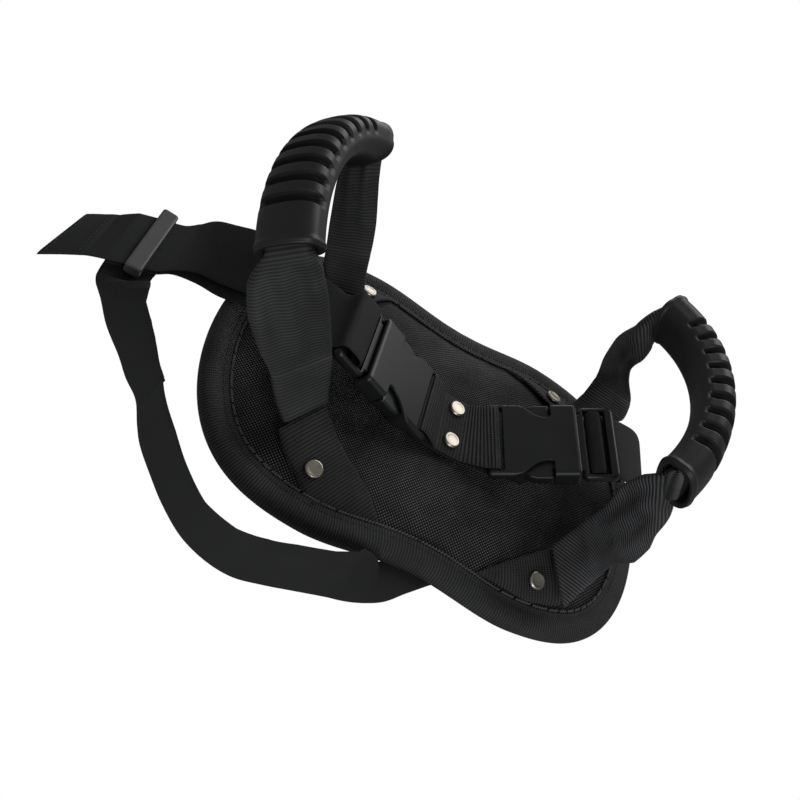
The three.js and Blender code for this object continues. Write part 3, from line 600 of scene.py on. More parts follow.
def blow_up(shell):
    """Air pressure rounds the cover between its seam and its rivets, by SIM_CAP at the most."""
    rest = np.array([v.co[:] for v in shell.data.vertices])
    held = shell.vertex_groups.new(name="held")
    for i, (x, y, z) in enumerate(rest / MM - np.array(PANEL_AT)):
        near_rivet = min(math.hypot(x - a, y - b) for a, b in RIVETS.values()) < RIVET_HELD
        if z < FACE_EDGE_TOP - 2 or seam_share(x, y) > SEAM_HELD or near_rivet:
            held.add([i], 1.0, "REPLACE")
    cloth = shell.modifiers.new("cloth", "CLOTH")
    cloth.settings.vertex_group_mass = "held"
    cloth.settings.use_pressure = True
    cloth.settings.uniform_pressure_force = PRESSURE
    cloth.settings.quality = 5
    cloth.settings.effector_weights.gravity = 0
    cloth.point_cache.frame_start = 1
    cloth.point_cache.frame_end = SIM_FRAMES
    for number in range(1, SIM_FRAMES + 1):
        bpy.context.scene.frame_set(number)
    blown = np.array([v.co[:] for v in evaluated(shell).vertices])
    shell.modifiers.clear()
    bpy.context.scene.frame_set(1)
    move = blown - rest
    length = np.linalg.norm(move, axis=1)[:, None]
    rest = rest + move * np.minimum(1, SIM_CAP * MM / np.maximum(length, 1e-9))
    shell.data.vertices.foreach_set("co", rest.ravel())


PAD_WAVES = ((46, 30, 3.1, 1.6), (17, 21, 8.2, 0.5))     # length, width, seed and height of each
RIVET_PULL, RIVET_PULL_AREA = 1.4, 190
SLACK_RISE = 2.4


def settled(x, y, z):
    """A height of the cover after wear: waved where it is slack, drawn in at each rivet."""
    share = seam_share(x, y)
    held = near_tab(x, y)
    slack = (1 - share ** 6) if share < 1 else 0.0
    wave = sum(noise.noise(Vector((x / a, y / b, seed))) * high for a, b, seed, high in PAD_WAVES)
    pull = sum(math.exp(-((x - a) ** 2 + (y - b) ** 2) / RIVET_PULL_AREA) for a, b in RIVETS.values())
    z += slack * (wave * (1 - 0.6 * held) - RIVET_PULL * pull)
    return min(z, crown_at(share) + (1 - held) * SLACK_RISE * slack - 0.1)


def blown_pad():
    """The face and its foam as one cushion, blown up between its seams and rivets."""
    shell = pad_shell()
    remesh = shell.modifiers.new("even", "REMESH")
    remesh.mode = "VOXEL"
    remesh.voxel_size = PAD_VOXEL * MM
    shell.data = evaluated(shell)
    shell.modifiers.clear()
    blow_up(shell)
    fine = shell.modifiers.new("fine", "SUBSURF")
    fine.levels = fine.render_levels = 1
    shell.data = evaluated(shell)
    shell.modifiers.clear()
    for v in shell.data.vertices:
        x, y, z = v.co / MM - PANEL_AT
        if z >= FACE_EDGE_TOP - 1:
            v.co.z = settled(x, y, z) * MM
    shell.name = shell.data.name = "panel_cushion"
    finish(shell.data, pad_cloth)
    seat(shell, "belt", "pad_nylon", "panel_face", "panel_foam")


LINING_SHARES = (1, 0.97, 0.9, 0.8, 0.68, 0.55, 0.42, 0.28, 0.14)
LINING_WAVE = 0.25


def lining():
    edge = inset(BIND_RIM + CLEAR)
    points = []
    for z, swing in ((LIFT + LINING_THICK, 0.0), (LIFT, LINING_WAVE)):
        for share in LINING_SHARES:
            for x, y in edge * share:
                lift = swing * max(0.0, noise.noise(Vector((x / 20, y / 20, 1.3)))) if share < 1 else 0
                points.append((x, y, z + lift))
        points.append((0, 0, z))
    made = piece("panel_back_cloth", points, sandwich_faces(len(LINING_SHARES)), lining_cloth)
    seat(made, "belt", "pad_nylon", "panel_lining")


# Buckle places
BUCKLE_WIDTH = 57.2
HALF_BUCKLE = BUCKLE_WIDTH / 2
FEMALE_LENGTH = 53
FEMALE_THICK = 15
BAR_THICK = 6
SLOT_WIDTH = 4.2
SLOT_LENGTH = 51.4
BAR_OUTER = -SLOT_WIDTH / 2 - 6.5
WEB_RISE = WEB_THICK / 2 + CLEAR
ROOT_BAR, INNER_SLOT, MIDDLE_BAR, OUTER_SLOT, OUTER_BAR = 4, 4.6, 5, 5, 6
MALE_REACH = ROOT_BAR + INNER_SLOT + MIDDLE_BAR + OUTER_SLOT + OUTER_BAR
MALE_THICK = 7
MID = -FEMALE_THICK / 2


def buckle_place(x_share, height, yaw, tilt):
    place = Matrix.Translation(Vector((x_share * PAD_HALF, 0, height)))
    place = place @ Matrix.Rotation(math.radians(yaw), 4, "Z")
    return place @ Matrix.Rotation(math.radians(-tilt), 4, "Y")


BUCKLES = {"left": buckle_place(-0.149, 34.5, 177, 23.1), "right": buckle_place(0.182, 36.9, 10, 32.4)}


def across_buckle(side):
    return BUCKLES[side].to_3x3() @ Vector((0, 1, 0))


# Waist strap

# Each cut: its near edge's place as shares of half the panel, its height in webbing thicknesses (none where
# the strap lies on the table), the direction and the tilt of its width in degrees, and the share of the
# webbing's width that lies flat.
TAIL = (
    (-1.643, -0.095, 1.26, 78, 0, 1), (-1.56, -0.05, 3.4, 84, -5, 1), (-1.5, -0.02, 4.6, 86.6, -6, 1),
    (-1.44, 0.005, 4.78, 86.6, 0, 1), (-1.37, 0.033, 4.78, 86.6, 0, 1), (-1.27, 0.07, 4.78, 86.6, 0, 1),
    (-1.21, 0.12, 4.88, 88, 1, 1), (-1.149, 0.149, 6.09, 92, 3, 1), (-1.03, 0.119, 11.03, 98, 8, 1),
    (-0.915, 0.095, 15.75, 106, 10, 1),
)
UNDER_TAIL = (
    (-0.915, 0.06, 12.39, 103, 9, 1), (-1.03, 0.09, 7.14, 98, 8, 1), (-1.119, 0.13, 3.15, 94, 2, 1),
    (-1.21, 0.125, 1.74, 88, 0, 1), (-1.27, 0.08, 1.73, 86.6, 0, 1), (-1.37, 0.043, 1.73, 86.6, 0, 1),
    (-1.44, 0.018, 1.73, 86.6, 0, 1),
)
LOOP = (
    (-1.443, 0.1, None, 25, 0, 0.7), (-1.443, 0.04, None, 8, 0, 0.6), (-1.443, -0.018, None, 4, 0, 0.6),
    (-1.44, -0.048, None, -2, 26, 0.66), (-1.428, -0.077, None, -12, 46, 0.83),
    (-1.408, -0.104, None, -28, 52, 0.97), (-1.385, -0.134, None, -39, 51, 1),
    (-1.323, -0.229, None, -38, 57, 1), (-1.235, -0.327, None, -48, 66, 1),
    (-1.181, -0.396, None, -54, 67, 1), (-1.12, -0.458, None, -64, 70, 1),
    (-1.077, -0.548, None, 27, 92, 1), (-1.042, -0.613, None, 32, 92, 1),
    (-0.97, -0.702, None, 40, 93, 1), (-0.893, -0.786, None, 45, 95, 1), (-0.798, -0.863, None, 58, 97, 1),
    (-0.696, -0.905, None, 75, 95, 1), (-0.601, -0.917, None, 90, 90, 1), (-0.5, -0.899, None, 102, 88, 1),
    (-0.381, -0.869, None, 103, 87, 1), (-0.286, -0.845, None, 108, 82, 0.96),
    (-0.2, -0.827, None, 108, 58, 0.7), (-0.125, -0.8, None, 108, 34, 0.54),
    (-0.06, -0.765, None, 112, 0, 0.5), (0.024, -0.69, None, 120, 0, 0.52),
    (0.179, -0.565, None, 125, 0, 0.7), (0.458, -0.408, None, 132, 0, 1),
    (0.744, -0.149, None, 126, 0, 1), (0.905, -0.012, None, 104, 0, 1), (0.985, 0.006, None, 92, 0, 1),
)
WRAP = (
    (0.988, 0.006, None, 92, 0, 1), (1.02, 0.006, 1.26, 92, 0, 1), (1.042, 0.006, 4.72, 91, 0, 1),
    (1.036, 0.006, 8.93, 90, 0, 1), (0.994, 0.006, 12.07, 90, 0, 1), (0.935, 0.006, 17.32, 92, 0, 1),
    (0.88, 0.006, 25.2, 93, 0, 1), (0.825, 0, 33.07, 94, 0, 1), (0.755, -0.03, 39.06, 96, 0, 1),
)
# Down through a male frame's inner slot and back under its bars: shares of its reach, and heights in socket
# thicknesses.
UNDER_BAR = ((0.256, -0.667), (0.28, -0.88), (0.386, -1), (0.6, -1), (1.06, -1.01))
# The whole way over the bars first, in the same measures. At the left the strap lies over the whole frame.
TURNS = {
    "left": (
        (1.12, -0.84), (1.05, -0.5), (1.02, -0.12), (0.9, 0.0), (0.6, 0.02), (0.4, -0.02), (0.28, -0.16),
        (0.262, -0.4)) + UNDER_BAR,
    "right": (
        (1.06, -0.84), (0.79, -0.84), (0.687, -0.773), (0.646, -0.6), (0.634, -0.4), (0.577, -0.26),
        (0.451, -0.247), (0.325, -0.26), (0.264, -0.4)) + UNDER_BAR,
}
BAND_STEPS = 12


def stations_of(table):
    result = []
    for x, y, z, plan, bank, share in table:
        a, b = math.radians(plan), math.radians(bank)
        across = Vector((math.cos(a) * math.cos(b), math.sin(a) * math.cos(b), math.sin(b)))
        width = WEB_WIDTH * share
        height = abs(math.cos(b)) * WEB_THICK / 2 + CLEAR / 6 if z is None else z * WEB_THICK
        near = Vector((x * PAD_HALF, y * PAD_HALF, height))
        result.append(Station(near + across * (width / 2), across, width))
    return result


def turn_stations(side):
    across = across_buckle(side) * (-1 if side == "left" else 1)
    spots = [Vector((FEMALE_LENGTH + out * MALE_REACH, 0, w * FEMALE_THICK)) for out, w in TURNS[side]]
    return [Station(BUCKLES[side] @ spot, across, WEB_WIDTH) for spot in spots]


def tail_stations():
    turn = turn_stations("left")
    over = eased(stations_of(TAIL) + [turn[0]], len(TAIL) * BAND_STEPS)
    under = eased([turn[-1]] + stations_of(UNDER_TAIL), len(UNDER_TAIL) * BAND_STEPS)
    return over + resampled(turn[1:-1], 1, passes=1) + under


def wrap_stations():
    turn = turn_stations("right")
    return eased(stations_of(WRAP) + [turn[0]], len(WRAP) * BAND_STEPS) + resampled(turn[1:], 1, passes=1)


LOOP_STATIONS = eased(stations_of(LOOP), len(LOOP) * BAND_STEPS)
HEM, HEM_THICK = 22, 1.7      # the free end is folded back and sewn
HEM_ROWS = (3, HEM - 2)
HEM_SEWN = 23                 # half of each row


def hem(along, _total, _side):
    return HEM_THICK - (HEM_THICK - 1) * step_up(HEM - 1, HEM + 1, along)


def hem_row(line, back):
    """The row of stitches that far from the strap's free end."""
    walked = 0.0
    for a, b in zip(line, line[1:]):
        walked += (b.middle - a.middle).length
        if walked >= back:
            break
    up = (b.middle - a.middle).cross(a.across).normalized()
    up = up if up.z > 0 else -up
    top = a.middle + up * (WEB_THICK / 2 * HEM_THICK)
    return [(top + a.across * (k * HEM_SEWN), up) for k in (-1, 1)]


def waist_strap():
    line = tail_stations()
    tail = strap("waist_strap_free_tail", line, WEB_THICK, strap_web, swell=hem)
    loop = strap("waist_strap_loop_round", LOOP_STATIONS, WEB_THICK, strap_web)
    wrap = strap("waist_strap_end_wrap", wrap_stations(), WEB_THICK, strap_web)
    seat(tail, "belt", "webbing", "waist_strap_tail")
    seat(loop, "belt", "webbing", "waist_strap_loop")
    seat(wrap, "belt", "webbing", "waist_strap_wrap")
    seat(stitches("hem_stitching", [hem_row(line, back) for back in HEM_ROWS], thread), "belt", "webbing")


def lying(stations, start, height):
    """Neighbouring cuts of a strap past x = start and lower than height."""
    return [(a, b) for a, b in zip(stations, stations[1:]) if a.middle.x > start and a.middle.z < height]


UNDER_EDGE = lying(LOOP_STATIONS, -60, 7) + lying(wrap_stations(), 150, 12)
EDGE_RISE = WEB_THICK + 0.7
RISE_RUN = 5                  # the tape comes down again over this much beside the strap


def strap_lift(x, y):
    """How far the binding rides up over the strap that passes under the panel's edge."""
    lift = 0.0
    for a, b in UNDER_EDGE:
        away = Vector((x - a.middle.x, y - a.middle.y, 0))
        side = abs(away.dot(a.across)) - a.width / 2
        ahead = abs(away.dot((b.middle - a.middle).normalized())) - 3
        lift = max(lift, 1 - max(0.0, side, ahead) / RISE_RUN)
    return max(0.0, lift) * EDGE_RISE


# Edge binding
def binding_section():
    """The folded tape's cut: distances in from the panel's edge, and heights, with its corners eased."""
    roof, floor = FACE_EDGE_TOP + CLEAR, LIFT - CLEAR
    corners = [
        (BIND_WIDTH, roof), (BIND_WIDTH + 0.4, roof + 1.2), (BIND_WIDTH - 0.6, roof + 2.3),
        (BIND_WIDTH - 3.4, roof + 1.6), (BIND_RIM * 2, roof + BIND_WALL * 1.5),
        (BIND_RIM, roof + BIND_WALL * 1.1), (BIND_RIM / 3, roof), (0, roof * 0.72), (-0.3, roof / 2),
        (0.1, roof * 0.25), (BIND_RIM / 3, BIND_WALL / 2), (BIND_RIM, 0.1), (BIND_RIM * 1.8, 0),
        (BIND_WIDTH, 0), (BIND_WIDTH, floor), (BIND_RIM, floor), (BIND_RIM, roof)]
    for _ in range(2):
        count = len(corners)
        eased_corners = []
        for i in range(count):
            a, b = corners[i], corners[(i + 1) % count]
            eased_corners += [
                (a[0] * 0.75 + b[0] * 0.25, a[1] * 0.75 + b[1] * 0.25),
                (a[0] * 0.25 + b[0] * 0.75, a[1] * 0.25 + b[1] * 0.75)]
        corners = eased_corners
    return corners


TAPE_PUCKER, PUCKER_LENGTH = 0.35, 7
TAPE_DRIFT, DRIFT_LENGTH = 0.9, 50      # how unevenly the tape was sewn on
STITCH_INSET = 3.6
SELVEDGE_RISE = 2.6                     # the tape's inner edge stands this far above the cover


def edge_row(distance, height):
    """A line round the panel for a row of stitches."""
    edge = inset(distance)
    return [(Vector((x, y, height)), Vector((0, 0, 1))) for x, y in np.vstack([edge, edge[:1]])]


def edge_binding():
    section = binding_section()
    step = PERIMETER / OUTLINE_STEPS
    rings = []
    for i, (px, py) in enumerate(OUTLINE):
        ring = []
        nx, ny = -ALONG[i, 1], ALONG[i, 0]
        pucker = noise.noise(Vector((i * step / PUCKER_LENGTH, 0, 4))) * TAPE_PUCKER
        drift = noise.noise(Vector((px / DRIFT_LENGTH, py / DRIFT_LENGTH, 9))) * TAPE_DRIFT
        for distance, z in section:
            inner = max(0.0, distance - BIND_RIM) / BIND_WIDTH
            d = distance + drift * inner
            x, y = px + nx * d, py + ny * d
            if z < LIFT:
                z = max(z, min(strap_lift(x, y), LIFT + 0.1))
            elif z > FACE_EDGE_TOP:
                z += pucker * inner
            ring.append(Vector((x, y, z)))
        rings.append(ring)
    across = [0.0]
    for a, b in zip(section, section[1:] + section[:1]):
        across.append(across[-1] + math.dist(a, b))
    points, faces, lay = ring_loft(rings, True, [i * step for i in range(OUTLINE_STEPS + 1)], across)
    seat(piece("edge_binding_tape", points, faces, tape_web, lay), "belt", "webbing", "edge_binding")
    sewn = [edge_row(BIND_WIDTH - STITCH_INSET, FACE_EDGE_TOP + CLEAR + BIND_WALL * 1.12)]
    seat(stitches("binding_stitching", sewn, thread), "belt", "webbing")
    cord = [edge_row(BIND_WIDTH + 0.3, FACE_EDGE_TOP + SELVEDGE_RISE)]
    beads = stitches("binding_selvedge", cord, edge_thread, gap=-0.4, radius=0.8, slant=0.6)
    seat(beads, "belt", "webbing")


# Tabs

# Each tab from its fold, where the riser starts, to its end under the binding: the fold's two ends, the two
# far corners, and how far the fold stands off the pad.
TAB_LOOKS = {
    "left_near": ((-110, -71), (-74, -97), (-29, -89), (-88.6, -40.2), 10),
    "left_far": ((-114.4, 51.5), (-112, 84), (-60, 93), (-84, 62.6), 5),
    "right_near": ((104, -86), (80, -93), (40, -90), (89, -52), 3),
    "right_far": ((118, 76), (104, 88), (40, 91), (86, 66), 2),
}
TAB_GRID = 28
TAB_STAND_SHARE = 0.45      # the share of a tab that lifts towards its fold
RIVET_DENT, DENT_REACH = 0.7, 9
TAB_PUCKER = 0.6


def tab_patch(name):
    """The webbing strip that lies on the pad from the binding to the riser's fold."""
    *spots, stand = TAB_LOOKS[name]
    c = [Vector((x, y, 0)) for x, y in spots]
    rx, ry = RIVETS[f"tab_{name}"]
    fold_line = (c[3] - c[0]).normalized()
    away_line = Vector((-fold_line.y, fold_line.x, 0))
    size = TAB_GRID + 1
    tops, lows = [], []
    for u, v in ((i / TAB_GRID, j / TAB_GRID) for i in range(size) for j in range(size)):
        p = c[0].lerp(c[1], u).lerp(c[3].lerp(c[2], u), v)
        edge = min(u, v, 1 - u, 1 - v)
        rim = min(1.0, edge * 16) ** 0.5
        dent = -RIVET_DENT * math.exp(-(math.hypot(p.x - rx, p.y - ry) / DENT_REACH) ** 2)
        pucker = TAB_PUCKER * noise.noise(Vector((p.x / 14, p.y / 17, 6))) * min(1, edge * 6)
        lift = stand * max(0.0, 1 - u / TAB_STAND_SHARE) ** 2 + 2 * CLEAR
        share = seam_share(p.x, p.y)
        over_tape = min(1, (share - 1) * 30) * SELVEDGE_RISE
        base = (crown_at(share) if share < 1 else FACE_EDGE_TOP + over_tape) + lift
        tops.append(Vector((p.x, p.y, base + 0.3 + TAB_THICK * 0.7 * rim + dent + pucker)))
        lows.append(Vector((p.x, p.y, base)))
    count = size * size
    faces, lay = [], []
    for base in (0, count):
        for a in (i * size + j for i in range(TAB_GRID) for j in range(TAB_GRID)):
            face = (a, a + size, a + size + 1, a + 1)
            faces.append(tuple(base + k for k in face))
            lay += [(tops[k].dot(fold_line), tops[k].dot(away_line)) for k in face]
    rim = [i * size for i in range(size)] + [TAB_GRID * size + j for j in range(1, size)]
    rim += [i * size + TAB_GRID for i in range(TAB_GRID - 1, -1, -1)] + list(range(TAB_GRID - 1, 0, -1))
    for a, b in zip(rim, rim[1:] + rim[:1]):
        faces.append((a, b, count + b, count + a))
        lay += [(0, 0), (1, 0), (1, 1), (0, 1)]
    made = piece(f"tab_cloth_{name}", tops + lows, faces, tab_web, lay)
    seat(made, "belt", "pad_nylon", f"tab_{name}")


# Rivets
LATHE_SIDES = 40
SHANK_RADIUS = 1.7
AXIS = 0.02      # the lathe's profiles start just off the axis, so that each face keeps its area
CAP_PROFILE = [
    (AXIS, 1.75), (2.6, 1.8), (3.9, 1.95), (4.6, 2.15), (5.2, 2.0), (5.75, 1.4), (6.0, 0.7), (5.9, 0.2),
    (5.6, 0), (1.8, 0), (SHANK_RADIUS, 0)]
WASHER_PROFILE = [(2, 0), (5, 0), (5, 0.5), (4.4, 0.8), (2, 0.8)]


def slope_at(x, y):
    """The pad's upward direction, over the width of a cap."""
    sx = (panel_height(x + 6, y) - panel_height(x - 6, y)) / 12
    sy = (panel_height(x, y + 6) - panel_height(x, y - 6)) / 12
    return Vector((-sx, -sy, 1)).normalized()


def lathe(name, profile, place, ring=False):
    turns = [2 * math.pi * k / LATHE_SIDES for k in range(LATHE_SIDES)]
    rings = [[place @ Vector((r * math.cos(t), r * math.sin(t), h)) for t in turns] for r, h in profile]
    points, faces, _ = ring_loft(rings, ring, range(len(rings) + 1), range(LATHE_SIDES + 1))
    return piece(name, points, faces, nickel)


def rivets():
    for name, (x, y) in RIVETS.items():
        on_tab = name.startswith("tab")
        if on_tab:
            top = panel_height(x, y) + TAB_THICK + 3 * CLEAR
        else:
            top = crown_at(0) + 2 * CLEAR + 2 * WEB_THICK + PLY_GAP
        tilt = slope_at(x, y) if on_tab else Vector((0, 0, 1))
        place = Matrix.Translation(Vector((x, y, top))) @ tilt.to_track_quat("Z", "Y").to_matrix().to_4x4()
        shank = [(SHANK_RADIUS, PAD_UNDER - top), (AXIS, PAD_UNDER - top)]
        cap = lathe(f"rivet_cap_{name}", CAP_PROFILE + shank, place)
        seat(cap, "belt", "rivet_nickel", f"rivet_{name}")
        place = Matrix.Translation(Vector((x, y, PAD_UNDER)))
        washer = lathe(f"rivet_washer_{name}", WASHER_PROFILE, place, ring=True)
        seat(washer, "belt", "rivet_nickel", f"rivet_back_{name}")


# Centre webbing

# Round a female's end bar: shares of the slot's width and of the bar's thickness.
SLOT_TURN = ((-0.57, 0.217), (-0.095, 0.1), (0.07, -0.25), (0.07, -0.75), (-0.095, -1.1), (-0.57, -1.217))
FLAT_HALF = 9         # the webbing lies flat this far to each side of its rivets


def round_bar(side, way):
    """From the upper layer, down round the bar and back to the lower one."""
    spots = [(u * SLOT_WIDTH, w * BAR_THICK) for u, w in SLOT_TURN]
    spots = [(BAR_OUTER, WEB_RISE)] + spots + [(BAR_OUTER, -BAR_THICK - WEB_RISE)]
    return [Station(BUCKLES[side] @ Vector((u, 0, w)), way, WEB_WIDTH) for u, w in spots]


def centre_stations():
    low = crown_at(0) + CLEAR + WEB_THICK / 2
    high = low + WEB_THICK + PLY_GAP

    def lies(x, z):
        return Station((x, 0, z), (0, 1, 0), WEB_WIDTH)

    right = round_bar("right", across_buckle("right"))
    left = round_bar("left", -across_buckle("left"))[::-1]
    upper = [lies(-FLAT_HALF, high), lies(FLAT_HALF, high)]
    lower = [lies(FLAT_HALF, low), lies(-FLAT_HALF, low)]
    return upper + right + lower + left


def centre_webbing():
    line = resampled(centre_stations(), 1.0, closed=True, passes=3)
    made = strap("centre_webbing_loop", line, WEB_THICK, centre_web, closed=True)
    seat(made, "belt", "webbing", "centre_webbing")


# Moulded parts
def prism(outline, low, high):
    """A temporary solid from an outline, in mm in its own place."""
    count = len(outline)
    points = [(x, y, low) for x, y in outline] + [(x, y, high) for x, y in outline]
    faces = [tuple(range(count))[::-1], tuple(range(count, 2 * count))]
    faces += [(i, (i + 1) % count, count + (i + 1) % count, count + i) for i in range(count)]
    return closed_mesh("blank", points, faces)


def block(low, high):
    (x0, y0, z0), (x1, y1, z1) = low, high
    return prism(((x0, y0), (x1, y0), (x1, y1), (x0, y1)), z0, z1)


def rounded(low, high, radius, steps=6):
    """A rectangle's outline with rounded corners."""
    outline = []
    for cx, cy, start in (
            (high[0] - radius, high[1] - radius, 0), (low[0] + radius, high[1] - radius, 90),
            (low[0] + radius, low[1] + radius, 180), (high[0] - radius, low[1] + radius, 270)):
        for k in range(steps + 1):
            a = math.radians(start + 90 * k / steps)
            outline.append((cx + radius * math.cos(a), cy + radius * math.sin(a)))
    return outline


def mould(name, solid, place, material, radius, added=(), taken=(), voxel=0.4, passes=4):
    """Rounds a blank's outer edges, joins and cuts blanks, then evens the skin as a moulding has it."""
    rounding = solid.modifiers.new("rounding", "BEVEL")
    rounding.width = radius
    rounding.segments = 4
    rounding.limit_method = "ANGLE"
    rounding.angle_limit = math.radians(50)
    for tools, operation in ((added, "UNION"), (taken, "DIFFERENCE")):
        for tool in tools:
            modifier = solid.modifiers.new("tool", "BOOLEAN")
            modifier.object = tool
            modifier.operation = operation
            modifier.solver = "EXACT"
    skin = solid.modifiers.new("skin", "REMESH")
    skin.mode = "VOXEL"
    skin.voxel_size = voxel
    soften = solid.modifiers.new("soften", "SMOOTH")
    soften.factor = 0.5
    soften.iterations = passes
    mesh = evaluated(solid)
    for blank in (solid, *added, *taken):
        bpy.data.objects.remove(blank)
    mesh.transform(Matrix.Scale(MM, 4) @ Matrix.Translation(PANEL_AT) @ place)
    mesh.name = name
    finish(mesh, material)
    return shown(name, mesh)


WINDOW_START, WINDOW_END = FEMALE_LENGTH * 0.25, FEMALE_LENGTH * 0.66
WINDOW_DEPTH = 11.5
WALL, SIDE_WALL = 2.4, 3.4
THROUGH = 40          # a cutting blank reaches this far past the part
MALE_CORNER, FEMALE_CORNER, SLOT_CORNER = 4.5, 3.2, 1.2
TONGUE_HALF, TONGUE_THICK, TONGUE_LENGTH = 8, 6, 34
BAR_DROP = 1          # the middle bar's faces lie this far inside the frame's
PRONG_ARM, PRONG_THICK = 5, 8.4
PRONG_PIVOT = (FEMALE_LENGTH * 0.86, 15)
PRONG_SHOWS = 0.8     # how far a prong's pad stands out of the female's side
NECK_HALF = HALF_BUCKLE - 6.72


def window_outline(s):
    """The side window in plan: a gentle sweep from the slot end, and a squarer corner at the mouth end."""
    sweep = (
        (0, 0), (0.12, 0.03), (0.25, 0.13), (0.38, 0.33), (0.5, 0.58), (0.62, 0.8), (0.74, 0.94), (0.86, 1.0),
        (0.95, 0.97), (1.0, 0.88), (1.0, 0))
    start = WINDOW_START - 6
    span = WINDOW_END - start
    outside = HALF_BUCKLE + 20
    outline = [(start, s * outside)]
    outline += [(start + u * span, s * (HALF_BUCKLE - v * WINDOW_DEPTH)) for u, v in sweep]
    return outline + [(WINDOW_END, s * outside)]


def female(side):
    start = BAR_OUTER
    plan = rounded((start, -HALF_BUCKLE), (FEMALE_LENGTH, HALF_BUCKLE), FEMALE_CORNER)
    body = prism(plan, -FEMALE_THICK, 0)
    foot = -FEMALE_THICK - 5
    ramp = (
        (start - 9, foot), (WINDOW_START, foot), (WINDOW_START, -FEMALE_THICK), (SLOT_WIDTH, -BAR_THICK),
        (start - 9, -BAR_THICK))
    under = prism(ramp, -THROUGH, THROUGH)
    under.data.transform(Matrix.Rotation(math.radians(90), 4, "X"))
    inner = HALF_BUCKLE - SIDE_WALL
    cavity = block((WINDOW_START - WALL, -inner, WALL - FEMALE_THICK), (FEMALE_LENGTH + 20, inner, -WALL))
    half_slot = (SLOT_WIDTH / 2, SLOT_LENGTH / 2)
    slot = prism(rounded((-half_slot[0], -half_slot[1]), half_slot, SLOT_CORNER), -THROUGH, THROUGH)
    cuts = [under, cavity, slot] + [prism(window_outline(s), -THROUGH, THROUGH) for s in (-1, 1)]
    made = mould(f"buckle_{side}_socket", body, BUCKLES[side], acetal, 2.8, taken=cuts, voxel=0.5)
    seat(made, "belt", "buckle_plastic", f"buckle_{side}_female")


def male(side):
    start, end = FEMALE_LENGTH + CLEAR, FEMALE_LENGTH + MALE_REACH
    low, high = MID - MALE_THICK / 2, MID + MALE_THICK / 2
    body = prism(rounded((start, -HALF_BUCKLE), (end, HALF_BUCKLE), MALE_CORNER), low, high)
    half = SLOT_LENGTH / 2
    inner = FEMALE_LENGTH + ROOT_BAR
    bar = inner + INNER_SLOT
    bar_end = bar + MIDDLE_BAR
    root = PRONG_PIVOT[0] + PRONG_ARM / 2 + 2 * CLEAR
    neck = block((root, -NECK_HALF, low), (start + 2, NECK_HALF, high))
    tongue = block(
        (FEMALE_LENGTH - TONGUE_LENGTH, -TONGUE_HALF, MID - TONGUE_THICK / 2),
        (start + 2, TONGUE_HALF, MID + TONGUE_THICK / 2))
    cuts = [
        block((inner, -half, -THROUGH), (bar, half, THROUGH)),
        block((bar_end, -half, -THROUGH), (bar_end + OUTER_SLOT, half, THROUGH)),
        block((inner, -half, high - BAR_DROP), (bar_end + OUTER_SLOT / 2, half, THROUGH)),
        block((inner, -half, -THROUGH), (bar_end + OUTER_SLOT / 2, half, low + BAR_DROP))]
    made = mould(
        f"buckle_{side}_latch_frame", body, BUCKLES[side], acetal, 2.2,
        added=[neck, tongue], taken=cuts, voxel=0.45, passes=3)
    seat(made, "belt", "buckle_plastic", f"buckle_{side}_male")


def prong(side, s, word):
    u, v = PRONG_PIVOT
    root, inner = u + PRONG_ARM / 2, v - PRONG_ARM / 2
    start, end = WINDOW_START + 2, WINDOW_END - 0.6
    outer = HALF_BUCKLE + PRONG_SHOWS
    line = [
        (root, inner), (start + PRONG_ARM, inner + 0.45), (start + 1.2, inner + 2),
        (start, inner + PRONG_ARM), (start + 1, outer - 3.5), (start + 4, outer - 1.2),
        (start + 8, outer - 0.1), (end, outer), (end, HALF_BUCKLE - 7 + CLEAR), (root, v + PRONG_ARM / 2)]
    blank = prism([(u, s * v) for u, v in line], MID - PRONG_THICK / 2, MID + PRONG_THICK / 2)
    made = mould(f"buckle_{side}_spring_prong_{word}", blank, BUCKLES[side], acetal, 1.3)
    seat(made, f"prong_{side}_{word}", "buckle_plastic", f"buckle_{side}_prong_{word}")


KEEPER_AT = (-1.34, 0.043, 2.44)      # shares of half the panel, and of the webbing's thickness
KEEPER_TURN = -3.4
KEEPER_LENGTH, KEEPER_HEIGHT, KEEPER_WALL = 11, 8.2, 1.6
KEEPER_FLOOR, KEEPER_ROOF = 2, 6.2    # the slot, from the underside


def keeper():
    long, half = KEEPER_LENGTH / 2, WEB_WIDTH / 2 + 3.5
    wide = half + KEEPER_WALL
    outer = prism(rounded((-long, -wide), (long, wide), 2.2), 0, KEEPER_HEIGHT)
    hole = block((-THROUGH, -half, KEEPER_FLOOR), (THROUGH, half, KEEPER_ROOF))
    x, y, z = KEEPER_AT
    place = Matrix.Translation(Vector((x * PAD_HALF, y * PAD_HALF, z * WEB_THICK)))
    place = place @ Matrix.Rotation(math.radians(KEEPER_TURN), 4, "Z")
    place = place @ Matrix.Translation(Vector((0, WEB_WIDTH / 2, 0)))
    made = mould("strap_keeper_loop", outer, place, keeper_nylon, 1.2, taken=[hole])
    seat(made, "keeper", "keeper_plastic", "strap_keeper")


# Handles
GRIP_RADIUS = 97
HALF_ARC = math.radians(42)
GRIP_BROAD, GRIP_THICK = 38, 25
RECESSES, RECESS_DEPTH, RECESS_SPAN = 9, 4.2, 0.74
RISER_THICK, RISER_WAIST = 3.2, 28
